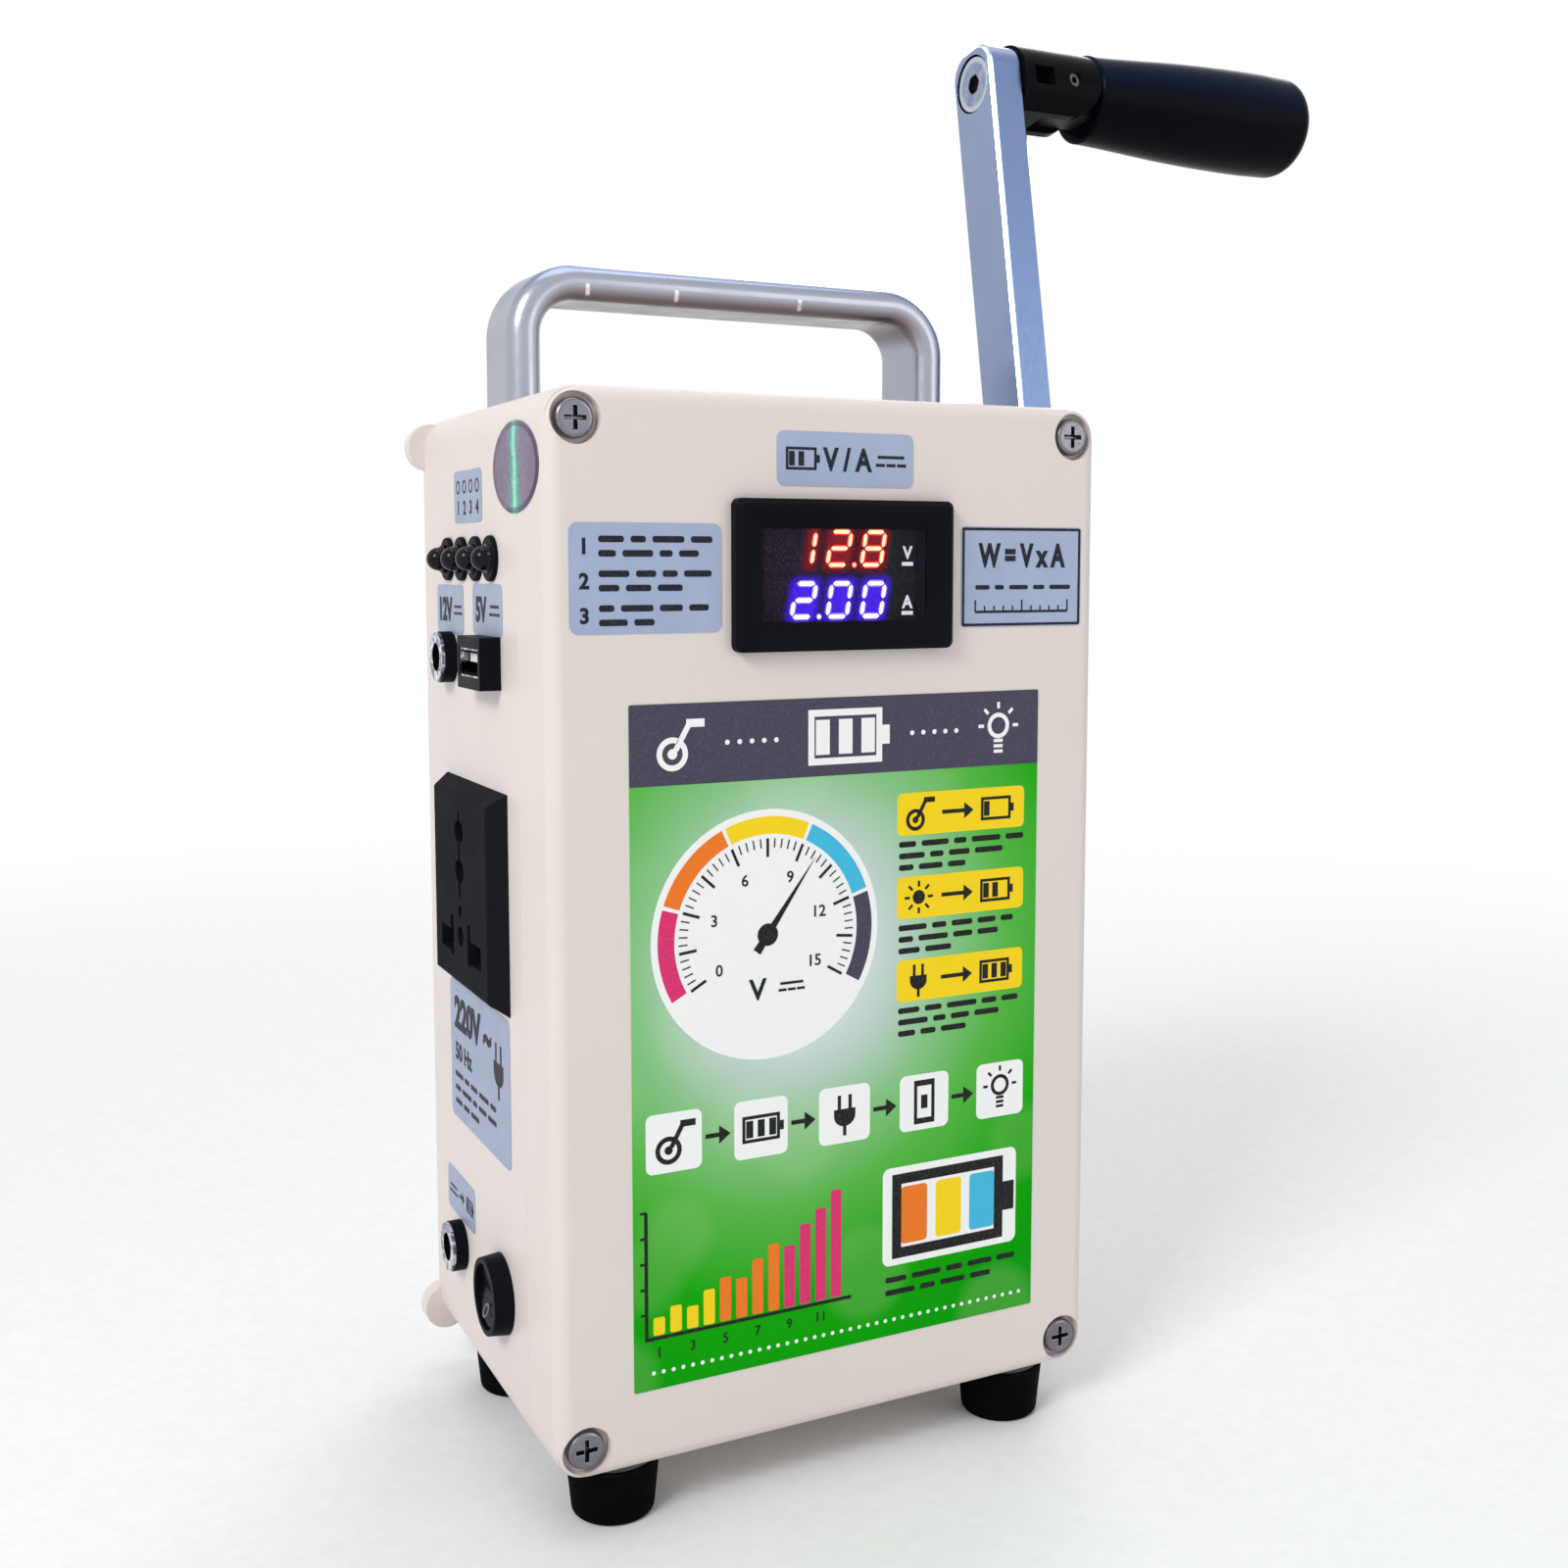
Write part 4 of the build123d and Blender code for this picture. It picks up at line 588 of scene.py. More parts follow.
def lettering(name, text, u, v, height, place, tone, w, stretch=1.0, bold=0.0, slot=None):
    """Plain figures or unit letters, centred on (u, v)."""
    cu = bpy.data.curves.new(name + "_type", "FONT")
    cu.body = text
    cu.size = 1.0
    cu.offset = bold
    cu.resolution_u = 3
    cu.extrude = 0.004
    tmp = bpy.data.objects.new(name + "_type", cu)
    bpy.context.scene.collection.objects.link(tmp)
    bpy.context.view_layer.update()
    me = bpy.data.meshes.new_from_object(tmp)
    bpy.data.objects.remove(tmp)
    xs = [p.co.x for p in me.vertices]
    ys = [p.co.y for p in me.vertices]
    k = height / (max(ys) - min(ys))
    mx, my = (max(xs) + min(xs)) / 2, (max(ys) + min(ys)) / 2
    bm = bmesh.new()
    bm.from_mesh(me)
    bpy.data.meshes.remove(me)
    for p in bm.verts:
        p.co = place(u + (p.co.x - mx) * k * stretch, v + (p.co.y - my) * k, w + p.co.z * k)
    bmesh.ops.remove_doubles(bm, verts=bm.verts, dist=1e-7)
    finish_mesh(name, bm, tone)


def vinyl(name, a, b):
    """Printed vinyl: faint mottling, soft sheen."""
    m = Mat(name, Coat_Weight=0.15, Coat_Roughness=0.25)
    base = m.ramp(m.noise(120, 4, 0.6), [(0.3, a), (0.7, b)])
    fine = m.noise(1700, 2, 0.5)
    return m.set(Base_Color=base, Roughness=m.range(fine, 0.3, 0.7, 0.34, 0.5),
                 Normal=m.bump(m.noise(55, 3, 0.5), 0.12, 0.15))


def print_ink(name, colour, rough=0.5):
    """Print that thins out a little where the press left less of it."""
    m = Mat(name, Specular_IOR_Level=0.15)
    lighter = tuple(c + (0.75 - c) * 0.06 for c in colour[:3]) + (1,)
    patch = m.range(m.noise(2600, 3, 0.7), 0.5, 0.75, 0, 1)
    return m.set(Base_Color=m.mix(patch, colour, lighter),
                 Roughness=m.range(m.noise(800, 2, 0.5), 0.3, 0.7, rough - 0.08, rough + 0.08),
                 Normal=m.bump(patch, 0.1, 0.01))


def card_green():
    """Printed card: pale glow high on the left that deepens to strong green at the foot."""
    m = Mat("card_green", Specular_IOR_Level=0.04)
    x, _, z = m.split(m.coords())[:3]
    du = m.math("SUBTRACT", x, PALE_U * MM)
    dv = m.math("MULTIPLY", m.math("SUBTRACT", z, PALE_V * MM), 0.95)
    far = m.math("SQRT", m.math("ADD", m.math("MULTIPLY", du, du), m.math("MULTIPLY", dv, dv)))
    soft = m.math("MULTIPLY_ADD", m.noise(16, 2, 0.5), 0.012, far)
    base = m.ramp(m.math("MULTIPLY", m.math("SUBTRACT", soft, 0.006), 10.0),
                  [(0.02, lin(230, 233, 246)), (0.12, lin(216, 228, 230)), (0.22, lin(190, 212, 200)),
                   (0.34, lin(140, 199, 138)), (0.48, lin(90, 184, 72)), (0.66, lin(22, 167, 8)),
                   (0.85, lin(6, 158, 8))])
    halo = m.range(m.voronoi(38, m.mapped(loc=(0.013, 0.0, 0.006))), 0.30, 0.42, 0.06, 0)
    base = m.mix(halo, base, lin(240, 250, 200))
    return m.set(Base_Color=base, Roughness=m.range(m.noise(1500, 2, 0.5), 0.3, 0.7, 0.28, 0.42),
                 Normal=m.bump(m.noise(45, 3, 0.5), 0.1, 0.15))


def hologram():
    """Security foil: violet grey with a bright green-blue band and fine engraved rings."""
    m = Mat("seal_foil", Metallic=0.3, Specular_IOR_Level=0.2)
    _, y, z = m.split(m.coords())[:3]
    dy = m.math("SUBTRACT", y, -SEAL_U * MM)
    dz = m.math("MULTIPLY", m.math("SUBTRACT", z, SEAL_V * MM), 1.6)
    r = m.math("SQRT", m.math("ADD", m.math("MULTIPLY", dy, dy), m.math("MULTIPLY", dz, dz)))
    across = m.math("ADD", dy, m.math("MULTIPLY", m.math("SUBTRACT", m.noise(160, 2, 0.5), 0.5), 0.006))
    base = m.ramp(m.range(across, -SEAL_RU * MM, SEAL_RU * MM, 0, 1),
                  [(0.0, lin(112, 98, 122)), (0.36, lin(132, 118, 146)), (0.43, lin(64, 176, 150)),
                   (0.5, lin(180, 250, 226)), (0.57, lin(52, 168, 140)), (0.64, lin(126, 110, 142)),
                   (1.0, lin(106, 92, 116))])
    fine = m.math("SINE", m.math("MULTIPLY", r, 9000.0))
    rim = m.math("MULTIPLY", m.range(r, 0.0118, 0.0122, 0, 1), m.range(r, 0.0132, 0.0136, 1, 0))
    base = m.mix(m.range(fine, -1, 1, 0, 0.3), base, lin(78, 66, 92))
    base = m.mix(m.math("MULTIPLY", rim, 0.7), base, lin(70, 56, 84))
    spots = m.math("MULTIPLY", m.range(m.voronoi(900), 0.30, 0.22, 0, 0.5),
                   m.range(r, 0.0088, 0.0084, 0, 1))
    base = m.mix(spots, base, lin(60, 46, 70))
    return m.set(Base_Color=base, Roughness=m.range(m.noise(700, 2, 0.5), 0.3, 0.7, 0.26, 0.4),
                 Normal=m.bump(fine, 0.25, 0.02))


def glow(name, a, b, strength, alpha=1.0):
    """A lit display part, slightly uneven as its light spreads."""
    m = Mat(name, Alpha=alpha, Specular_IOR_Level=0.0, Emission_Strength=strength, Roughness=0.6)
    patch = m.noise(900, 2, 0.5)
    return m.set(Base_Color=m.ramp(patch, [(0.2, (0, 0, 0, 1)), (0.8, (0.004, 0.003, 0.004, 1))]),
                 Emission_Color=m.ramp(patch, [(0.3, a), (0.7, b)]))


blue_vinyl = vinyl("blue_vinyl", lin(154, 166, 196), lin(163, 174, 203))
side_vinyl = vinyl("side_vinyl", lin(142, 154, 182), lin(152, 163, 190))
dark_ink = print_ink("dark_ink", lin(26, 28, 40))
black_ink = print_ink("black_ink", lin(20, 24, 22))
white_ink = print_ink("white_ink", lin(246, 246, 244), 0.45)
yellow_ink = print_ink("yellow_ink", lin(250, 214, 18), 0.42)
orange_ink = print_ink("orange_ink", lin(240, 122, 30), 0.42)
pink_ink = print_ink("pink_ink", lin(220, 48, 112), 0.42)
cyan_ink = print_ink("cyan_ink", lin(66, 186, 222), 0.42)
header_ink = print_ink("header_ink", lin(70, 66, 86), 0.42)
# slot names for sheets and light print, for dark print and for lit shapes; no piece is given them here
SLOT, INK_SLOT, LIT_SLOT = "tongue_white", "black_plastic", "display_grey"

T = 0.12          # a sheet's thickness
INK = 0.05        # a print's body, most of it down in the sheet
STEP = 0.004      # neighbouring shapes of a print differ by this, so that overlaps stay clean
I1, I2, I3 = T + 0.03, T + 0.06, T + 0.09


# ---- pictograms
def icon_crank(u, v, s):
    return (ring(u - 0.12 * s, v - 0.16 * s, 0.24 * s, 0.1 * s, n=28)
            + [disc(u - 0.12 * s, v - 0.16 * s, 0.09 * s, 16),
               bar(u - 0.06 * s, v - 0.1 * s, u + 0.2 * s, v + 0.36 * s, 0.1 * s),
               bar(u + 0.14 * s, v + 0.36 * s, u + 0.48 * s, v + 0.36 * s, 0.14 * s)])


def icon_battery(u, v, s, cells=3):
    w, h, t = 0.4 * s, 0.25 * s, 0.07 * s
    out = [bar(u - w - t / 2, v + k * h, u + w + t / 2, v + k * h, t) for k in (-1, 1)]
    out += [bar(u + k * w, v - h, u + k * w, v + h, t) for k in (-1, 1)]
    out.append(bar(u + w + 0.08 * s, v - 0.1 * s, u + w + 0.08 * s, v + 0.1 * s, 0.09 * s))
    step = 2 * w / 3
    for i in range(cells):
        mid = u - w + step * (i + 0.5)
        out.append(bar(mid, v - h + t, mid, v + h - t, step * 0.6))
    return out


def icon_phone(u, v, s):
    w, h, t = 0.22 * s, 0.42 * s, 0.08 * s
    out = [bar(u - w - t / 2, v + k * h, u + w + t / 2, v + k * h, t * 1.6) for k in (-1, 1)]
    out += [bar(u + k * w, v - h, u + k * w, v + h, t) for k in (-1, 1)]
    return out + [bar(u - 0.08 * s, v, u + 0.08 * s, v, 0.3 * s)]


def icon_lamp(u, v, s):
    out = ring(u, v + 0.1 * s, 0.2 * s, 0.08 * s, n=28)
    out += [bar(u - 0.1 * s, v - k * s, u + 0.1 * s, v - k * s, 0.06 * s) for k in (0.18, 0.28, 0.38)]
    for a in range(0, 181, 45):
        c, d = math.cos(math.radians(a)), math.sin(math.radians(a))
        out.append(bar(u + 0.32 * s * c, v + 0.1 * s + 0.32 * s * d, u + 0.44 * s * c,
                       v + 0.1 * s + 0.44 * s * d, 0.06 * s))
    return out


def icon_plug(u, v, s):
    body = [(u - 0.26 * s, v + 0.12 * s), (u + 0.26 * s, v + 0.12 * s)]
    body += [(u + 0.26 * s * math.cos(t), v - 0.02 * s - 0.24 * s * math.sin(t))
             for t in [math.pi * i / 10 for i in range(11)]]
    return [body, bar(u - 0.13 * s, v + 0.12 * s, u - 0.13 * s, v + 0.42 * s, 0.08 * s),
            bar(u + 0.13 * s, v + 0.12 * s, u + 0.13 * s, v + 0.42 * s, 0.08 * s),
            bar(u, v - 0.2 * s, u, v - 0.46 * s, 0.08 * s)]


def icon_sun(u, v, s):
    out = [disc(u, v, 0.19 * s, 28)]
    for a in range(0, 360, 45):
        c, d = math.cos(math.radians(a)), math.sin(math.radians(a))
        out.append(bar(u + 0.28 * s * c, v + 0.28 * s * d, u + 0.44 * s * c, v + 0.44 * s * d, 0.07 * s))
    return out


def direct_current(u, v, s):
    """The sign for direct current: a line over three dashes."""
    out = [bar(u - 0.5 * s, v + 0.13 * s, u + 0.5 * s, v + 0.13 * s, 0.1 * s)]
    return out + [bar(u + (k - 0.17) * s, v - 0.13 * s, u + (k + 0.17) * s, v - 0.13 * s, 0.1 * s)
                  for k in (-0.4, 0.0, 0.4)]


def arrow(u0, u1, v, width):
    """Points right, to u1."""
    head = 2.2 * width
    return [bar(u0, v, u1 - head, v, width * 0.8),
            [(u1 - head, v - head * 0.75), (u1, v), (u1 - head, v + head * 0.75)]]


def words(u0, v0, widths, height, space=1.3):
    """A line of print as plain strokes of uneven length."""
    out = []
    for w in widths:
        out.append(rounded(u0, v0 - height, u0 + w, v0, height / 2.5, 3))
        u0 += w + space
    return out


# ---- the large card
CARD = (-45, 15.3, 46.2, 147)        # left, foot, right, top
HEADER_FOOT, HEADER_MID = 131.7, 139.3
sheet("card", rounded(*CARD, 0.4), on_front, card_green())
header = [(CARD[0], HEADER_FOOT), (CARD[2], HEADER_FOOT)]
header += rounded(CARD[0], HEADER_FOOT, CARD[2], CARD[3], 0.4)[:14]     # its two upper corners
ink("card_header", [header], on_front, header_ink, I1)
dots = [disc(u + 2.6 * i, HEADER_MID, 0.5, 12) for u in (-25, 15.8) for i in range(5)]
ink("card_header_signs", icon_crank(-35, HEADER_MID, 11) + icon_battery(0.6, HEADER_MID, 19)
    + icon_lamp(36.4, HEADER_MID - 0.5, 11) + dots, on_front, white_ink, I2)

DIAL_U, DIAL_V = -16.5, 101.5        # middle of the dial
START, SWEEP = 210, 240              # degrees: where its scale starts, how far it runs
NEEDLE = math.radians(54)


def on_dial(r, a, aside=0.0):
    """A point of the dial at that radius and angle, and that far to the left of the ray."""
    c, s = math.cos(a), math.sin(a)
    return (DIAL_U + r * c - aside * s, DIAL_V + r * s + aside * c)


ink("dial_plate", [disc(DIAL_U, DIAL_V, 24.5, 72)], on_front, white_ink, I1)
for i, tone in enumerate((pink_ink, orange_ink, yellow_ink, cyan_ink, header_ink)):
    a0 = START - SWEEP / 5 * i
    ink(f"dial_band_{i}", ring(DIAL_U, DIAL_V, 21.4, 3.4, a0 - 47, a0 - 1, 16), on_front, tone, I2)
marks = []
for i in range(51):
    a = math.radians(START - SWEEP / 50 * i)
    r0, wide = (15.2, 0.55) if i % 5 == 0 else (17.0, 0.25)
    marks.append(bar(*on_dial(r0, a), *on_dial(18.8, a), wide))
marks.append([on_dial(-4, NEEDLE, 0.9), on_dial(17.6, NEEDLE), on_dial(-4, NEEDLE, -0.9)])
marks.append(disc(DIAL_U, DIAL_V, 2.2, 28))
marks += direct_current(DIAL_U + 5.2, DIAL_V - 10.6, 5.0)
ink("dial_marks", marks, on_front, black_ink, I3)
for i in range(0, 11, 2):
    a = math.radians(START - SWEEP / 10 * i)
    lettering(f"dial_figure_{i}", str(int(i * 1.5)), *on_dial(12.0, a), 2.3, on_front, black_ink, I3,
              bold=0.012)
lettering("dial_unit", "V", DIAL_U - 2.2, DIAL_V - 10.6, 4.2, on_front, black_ink, I3, bold=0.02)

PRINT = (((4, 6.4, 3, 7, 4.4), (6, 3.2, 5, 6.8), (3.4, 5.6, 4.2)),
         ((6.6, 3.4, 5, 4.4, 3), (3.4, 7, 4.6, 5), (5, 6.2)),
         ((5, 4, 7.2, 3.6, 4), (7, 3, 4.4, 6), (4, 3.6, 6)))
for i, icon in enumerate((icon_crank, icon_sun, icon_plug)):
    low = 118.6 - 17.0 * i
    mid = low + 4.3
    ink(f"heading_{i}", [rounded(12.5, low, 43.0, low + 8.6, 1.2)], on_front, yellow_ink, I1)
    signs = icon(17.6, mid, 7.6) + arrow(23, 30.5, mid, 1.0) + icon_battery(36, mid, 8.4, i + 1)
    ink(f"heading_signs_{i}", signs, on_front, black_ink, I2)
    lines = sum((words(12.9, low - 1.2 - 2.35 * k, PRINT[i][k], 1.15) for k in range(3)), [])
    ink(f"heading_rules_{i}", lines, on_front, black_ink, I1)

CHAIN_MID = 63.4
chain = ((icon_crank, -36.5), (icon_battery, -18.0), (icon_plug, 0.6), (icon_phone, 19.2),
         (icon_lamp, 37.7))
cards = [rounded(u - 5.8, CHAIN_MID - 5.8, u + 5.8, CHAIN_MID + 5.8, 1.4) for _, u in chain]
ink("chain_cards", cards, on_front, white_ink, I1)
for k, (icon, u) in enumerate(chain):
    ink(f"chain_sign_{k}", icon(u, CHAIN_MID, 9.4), on_front, black_ink, I2)
arrows = sum((arrow(a[1] + 6.6, b[1] - 6.6, CHAIN_MID, 1.1) for a, b in zip(chain, chain[1:])), [])
ink("chain_arrows", arrows, on_front, black_ink, I1)

CHART_FOOT, COLUMN = 26.0, 3.5       # the columns' foot and their pitch
heights = (3.5, 5.2, 4.4, 7.0, 8.8, 8.0, 11.2, 13.6, 12.6, 16.4, 19.0, 22.2)
columns = [rounded(-41 + COLUMN * i, CHART_FOOT, -38.6 + COLUMN * i, CHART_FOOT + h, 0.4, 3)
           for i, h in enumerate(heights)]
ink("chart_low", columns[:4], on_front, yellow_ink, I1)
ink("chart_middle", columns[4:8], on_front, orange_ink, I1)
ink("chart_high", columns[8:], on_front, pink_ink, I1)
axes = [bar(-42.4, 25.4, 2.2, 25.4, 0.7), bar(-42.4, 25.1, -42.4, 50.5, 0.7)]
axes += [bar(-43.6, 25.4 + 5 * i, -42.4, 25.4 + 5 * i, 0.5) for i in range(1, 6)]
ink("chart_frame", axes, on_front, black_ink, I1)
for i in range(1, 13, 2):
    lettering(f"chart_figure_{i}", str(i), -39.8 + COLUMN * (i - 1), 22.6, 2.0, on_front, black_ink,
              I1, bold=0.012)

STORE_U, STORE_V = 25.2, 40.2        # middle of the store's picture
ink("store_plate", [rounded(9.5, 30.0, 42.0, 50.5, 1.6)], on_front, white_ink, I1)
ink("store_outline", icon_battery(STORE_U, STORE_V, 31, 0), on_front, black_ink, I2)
for k, tone in enumerate((orange_ink, yellow_ink, cyan_ink)):
    mid = STORE_U - 12.4 + 24.8 * (k + 0.5) / 3
    cell = rounded(mid - 3.1, STORE_V - 6.0, mid + 3.1, STORE_V + 6.0, 0.8)
    ink(f"store_cell_{k}", [cell], on_front, tone, I2)
store_print = words(10.2, 27.6, (5, 7, 4, 6, 4.4), 1.15) + words(10.2, 24.9, (7, 3.6, 6, 5), 1.15)
ink("store_rules", store_print, on_front, black_ink, I1)
foot_dots = [disc(-41 + 2.05 * i, 18.6, 0.42, 12) for i in range(42)]
ink("card_foot", foot_dots, on_front, white_ink, I1)

# ---- small front labels
sheet("label_meter", rounded(-14.4, 187.7, 15.7, 198.1, 1.6), on_front, blue_vinyl)
ink("label_meter_signs", icon_battery(-9.2, 192.9, 7.6, 2) + direct_current(10.6, 192.8, 6.0), on_front,
    dark_ink, I1)
lettering("label_meter_unit", "V / A", 0.9, 192.9, 4.6, on_front, dark_ink, I1, stretch=0.82, bold=0.035)

sheet("label_notes", rounded(-56.3, 160.1, -26.0, 180.4, 1.8), on_front, blue_vinyl)
NOTES = ((178.0, (5, 3, 6.4, 4.4)), (175.4, (3.4, 6, 2.6, 4)), (171.7, (6, 4, 3, 5.6)),
         (169.1, (4, 5, 5)), (165.4, (3, 6.4, 4.6, 4)), (162.8, (5.6, 4)))
ink("label_notes_rules", sum((words(-50.6, v, widths, 1.2) for v, widths in NOTES), []), on_front,
    dark_ink, I1)
for i in range(3):
    lettering(f"label_notes_{i}", str(i + 1), -53.4, 176.1 - 6.3 * i, 3.0, on_front, dark_ink, I1,
              bold=0.035)

RULE_U, RULE_V = 30.5, 163.2         # start of the drawn rule
sheet("label_formula", rounded(27.1, 160.1, 56.6, 180.4, 1.0), on_front, blue_vinyl)
edge = [bar(27.6, v, 56.1, v, 0.55) for v in (160.6, 179.9)]
edge += [bar(u, 160.4, u, 180.1, 0.55) for u in (27.6, 56.1)]
edge += [bar(RULE_U, RULE_V, 53.2, RULE_V, 0.5)]
edge += [bar(RULE_U + 2.27 * i, RULE_V, RULE_U + 2.27 * i, 165.6 if i % 5 == 0 else 164.4, 0.35)
         for i in range(11)]
edge += words(RULE_U, 168.6, (3.4, 2.2, 4.6, 2.8, 5.2), 0.9)
ink("label_formula_edge", edge, on_front, dark_ink, I1)
lettering("label_formula_text", "W = V x A", 41.85, 174.6, 5.0, on_front, dark_ink, I1, stretch=0.72,
          bold=0.045)

# ---- left side labels
sheet("label_lamps", rounded(-15.5, 181.3, 4.6, 191.9, 1.4), on_left, side_vinyl)
for i in range(4):
    u = -12.4 + 4.64 * i
    ink(f"label_lamps_ring_{i}", ring(u, 188.6, 1.2, 0.4, n=24), on_left, dark_ink, I1)
    lettering(f"label_lamps_{i}", str(i + 1), u, 184.4, 2.9, on_left, dark_ink, I1, bold=0.035)

sheet("label_12v", rounded(-30.6, 158.3, -10.1, 168.6, 1.4), on_left, side_vinyl)
lettering("label_12v_text", "12V", -23.4, 163.5, 5.2, on_left, dark_ink, I1, bold=0.045)
ink("label_12v_sign", direct_current(-14.2, 163.4, 5.4), on_left, dark_ink, I1)

sheet("label_5v", rounded(-3.0, 158.8, 17.4, 169.0, 1.4), on_left, side_vinyl)
lettering("label_5v_text", "5V", 3.2, 163.9, 5.2, on_left, dark_ink, I1, bold=0.045)
ink("label_5v_sign", direct_current(12.4, 163.8, 6.0), on_left, dark_ink, I1)

sheet("label_mains", rounded(-25.9, 53.0, 18.0, 83.5, 1.8), on_left, side_vinyl)
lettering("label_mains_text", "220V ~", -8.6, 76.6, 7.4, on_left, dark_ink, I1, bold=0.045)
lettering("label_mains_rate", "50 Hz", -15.8, 68.0, 4.0, on_left, dark_ink, I1, bold=0.035)
MAINS = ((63.4, (6, 3.4, 5, 7, 4)), (60.4, (4, 7, 3, 5.6, 6)), (57.4, (5, 4.4, 6)))
mains_print = sum((words(-22.6, v, widths, 1.1) for v, widths in MAINS), [])
ink("label_mains_sign", icon_plug(10.2, 71.6, 13.0) + mains_print, on_left, dark_ink, I1)

sheet("label_charge", rounded(-30.5, 30.6, -9.2, 40.4, 1.4), on_left, side_vinyl)
ink("label_charge_sign", direct_current(-25.8, 35.4, 5.4) + arrow(-21.4, -17.4, 35.5, 0.8)
    + icon_battery(-13.2, 35.5, 5.8), on_left, dark_ink, I1)


# ---- oval seal across the seam
def oval(f, w):
    """A ring of the seal at that share of its size, on the wall's own bend."""
    turns = [2 * math.pi * i / 64 for i in range(64 if f else 1)]
    return [bm.verts.new(on_left(SEAL_U + SEAL_RU * f * math.cos(t),
                                 SEAL_V + SEAL_RV * f * math.sin(t), w)) for t in turns]


bm = bmesh.new()
bridge(bm, [oval(k / 8, T) for k in range(9)] + [oval(k / 8, 0.0) for k in range(8, -1, -1)])
finish_mesh("seal_oval", bm, hologram(), smooth=True)

# ---- marks on the rocker
ROCK_PIVOT = Vector((-60.712, -10.491, 25.6))
ROCK_AXIS = Vector((0.02243474, 0.99974831, 0.0))
ROCK_TILT = math.radians(-10.0)   # at rest the lower half stands out
VALLEY, SLOPE = 1.8, 0.2          # the rocker's face over its pivot, and its rise to both sides


def on_rocker(a, b, w):
    """A point on the rocker's face: a towards the front, b up from the pivot, w out of it."""
    front = -ROCK_AXIS
    up = Vector((0, 0, 1))
    out = front.cross(up)
    up, out = (up * math.cos(ROCK_TILT) + out * math.sin(ROCK_TILT),
               out * math.cos(ROCK_TILT) - up * math.sin(ROCK_TILT))
    height = VALLEY + SLOPE * abs(b) + w
    return (ROCK_PIVOT + front * a + up * b + out * height) * MM


bm = bmesh.new()
prisms(bm, ring(0, -3.4, 1.2, 0.42, n=28) + [bar(0, 2.2, 0, 4.6, 0.42)], on_rocker, -0.03, 0.04)
finish_mesh("rocker_marks", bm, print_ink("mark_grey", lin(120, 124, 136)), body="rocker")

# ---- lit figures of the meter
SEGMENTS = {"0": "abcdef", "1": "bc", "2": "abged", "8": "abcdefg"}
DIGIT_W, DIGIT_H, STROKE, GAP = 4.3, 6.4, 1.32, 0.16
SLANT = math.tan(math.radians(9.5))
CELLS = (-8.0, -0.2, 7.4)            # middles of the three figures in a row
DISPLAY = -42.47                     # the digit blocks' face
BEHIND = -0.02                       # what is lit lies that far into it


def segment(kind, u, v, w, grow=0.0):
    """One lit bar of a seven-bar figure whose middle is at (u, v)."""
    hw, hh, s, g = DIGIT_W / 2, DIGIT_H / 2, w / 2, GAP - grow
    level = {"a": hh, "g": 0.0, "d": -hh}
    if kind in level:
        y = level[kind]
        pts = [(-hw + g, y), (-hw + g + s, y + s), (hw - g - s, y + s), (hw - g, y), (hw - g - s, y - s),
               (-hw + g + s, y - s)]
    else:
        x = hw if kind in "bc" else -hw
        y0, y1 = (g, hh - g) if kind in "bf" else (-hh + g, -g)
        pts = [(x, y0), (x + s, y0 + s), (x + s, y1 - s), (x, y1), (x - s, y1 - s), (x - s, y0 + s)]
    return slanted(pts, u, v)


def slanted(pts, u, v):
    return [(u + px + py * SLANT, v + py) for px, py in pts]


def behind_window(u, v, w):
    return Vector((u, DISPLAY - w, v)) * MM


def lit_row(name, text, v, halo, edge_tone, core, dot_after):
    """A row of figures: soft glow, coloured edge and bright core."""
    for layer, (tone, width, grow, dot) in enumerate(((edge_tone, STROKE, 0.0, 0.62),
                                                      (core, STROKE * 0.55, -0.12, 0.36))):
        shapes = [segment(k, u, v, width, grow) for ch, u in zip(text, CELLS) for k in SEGMENTS[ch]]
        shapes.append(disc(CELLS[dot_after] + 3.3, v - DIGIT_H / 2, dot, 20))
        light(f"{name}_{layer}", shapes, behind_window, tone, BEHIND + 0.01 * layer)
    for step, tone in enumerate(halo):
        spread = 0.25 + 0.36 * step
        right, high = DIGIT_W / 2 + spread, DIGIT_H / 2 + spread
        shapes = []
        for ch, u in zip(text, CELLS):
            left = (DIGIT_W / 2 - 0.7 if ch == "1" else -DIGIT_W / 2) - spread
            shapes.append(slanted(rounded(left, -high, right, high, 0.6 + 0.36 * step), u, v))
        light(f"{name}_glow_{step}", shapes, behind_window, tone, BEHIND - 0.008 * (step + 1))


red_glow = [glow(f"red_haze_{i}", lin(200, 22, 40), lin(214, 28, 36), 1.5, a)
            for i, a in enumerate((0.34, 0.22, 0.16, 0.11, 0.07, 0.04))]
blue_glow = [glow(f"blue_haze_{i}", lin(62, 20, 226), lin(74, 26, 240), 3.2, a)
             for i, a in enumerate((0.5, 0.36, 0.26, 0.18, 0.11, 0.06))]
lit_row("volts", "128", 175.9, red_glow, glow("red_edge", lin(255, 30, 34), lin(255, 44, 40), 4.0),
        glow("red_core", lin(255, 214, 150), lin(255, 236, 190), 4.2), 1)
lit_row("amps", "200", 165.9, blue_glow, glow("blue_edge", lin(128, 104, 255), lin(150, 126, 255), 4.0),
        glow("blue_core", lin(250, 248, 255), lin(255, 255, 255), 5.0), 0)
unit_tone = glow("unit_white", lin(226, 226, 240), lin(240, 240, 250), 2.4)
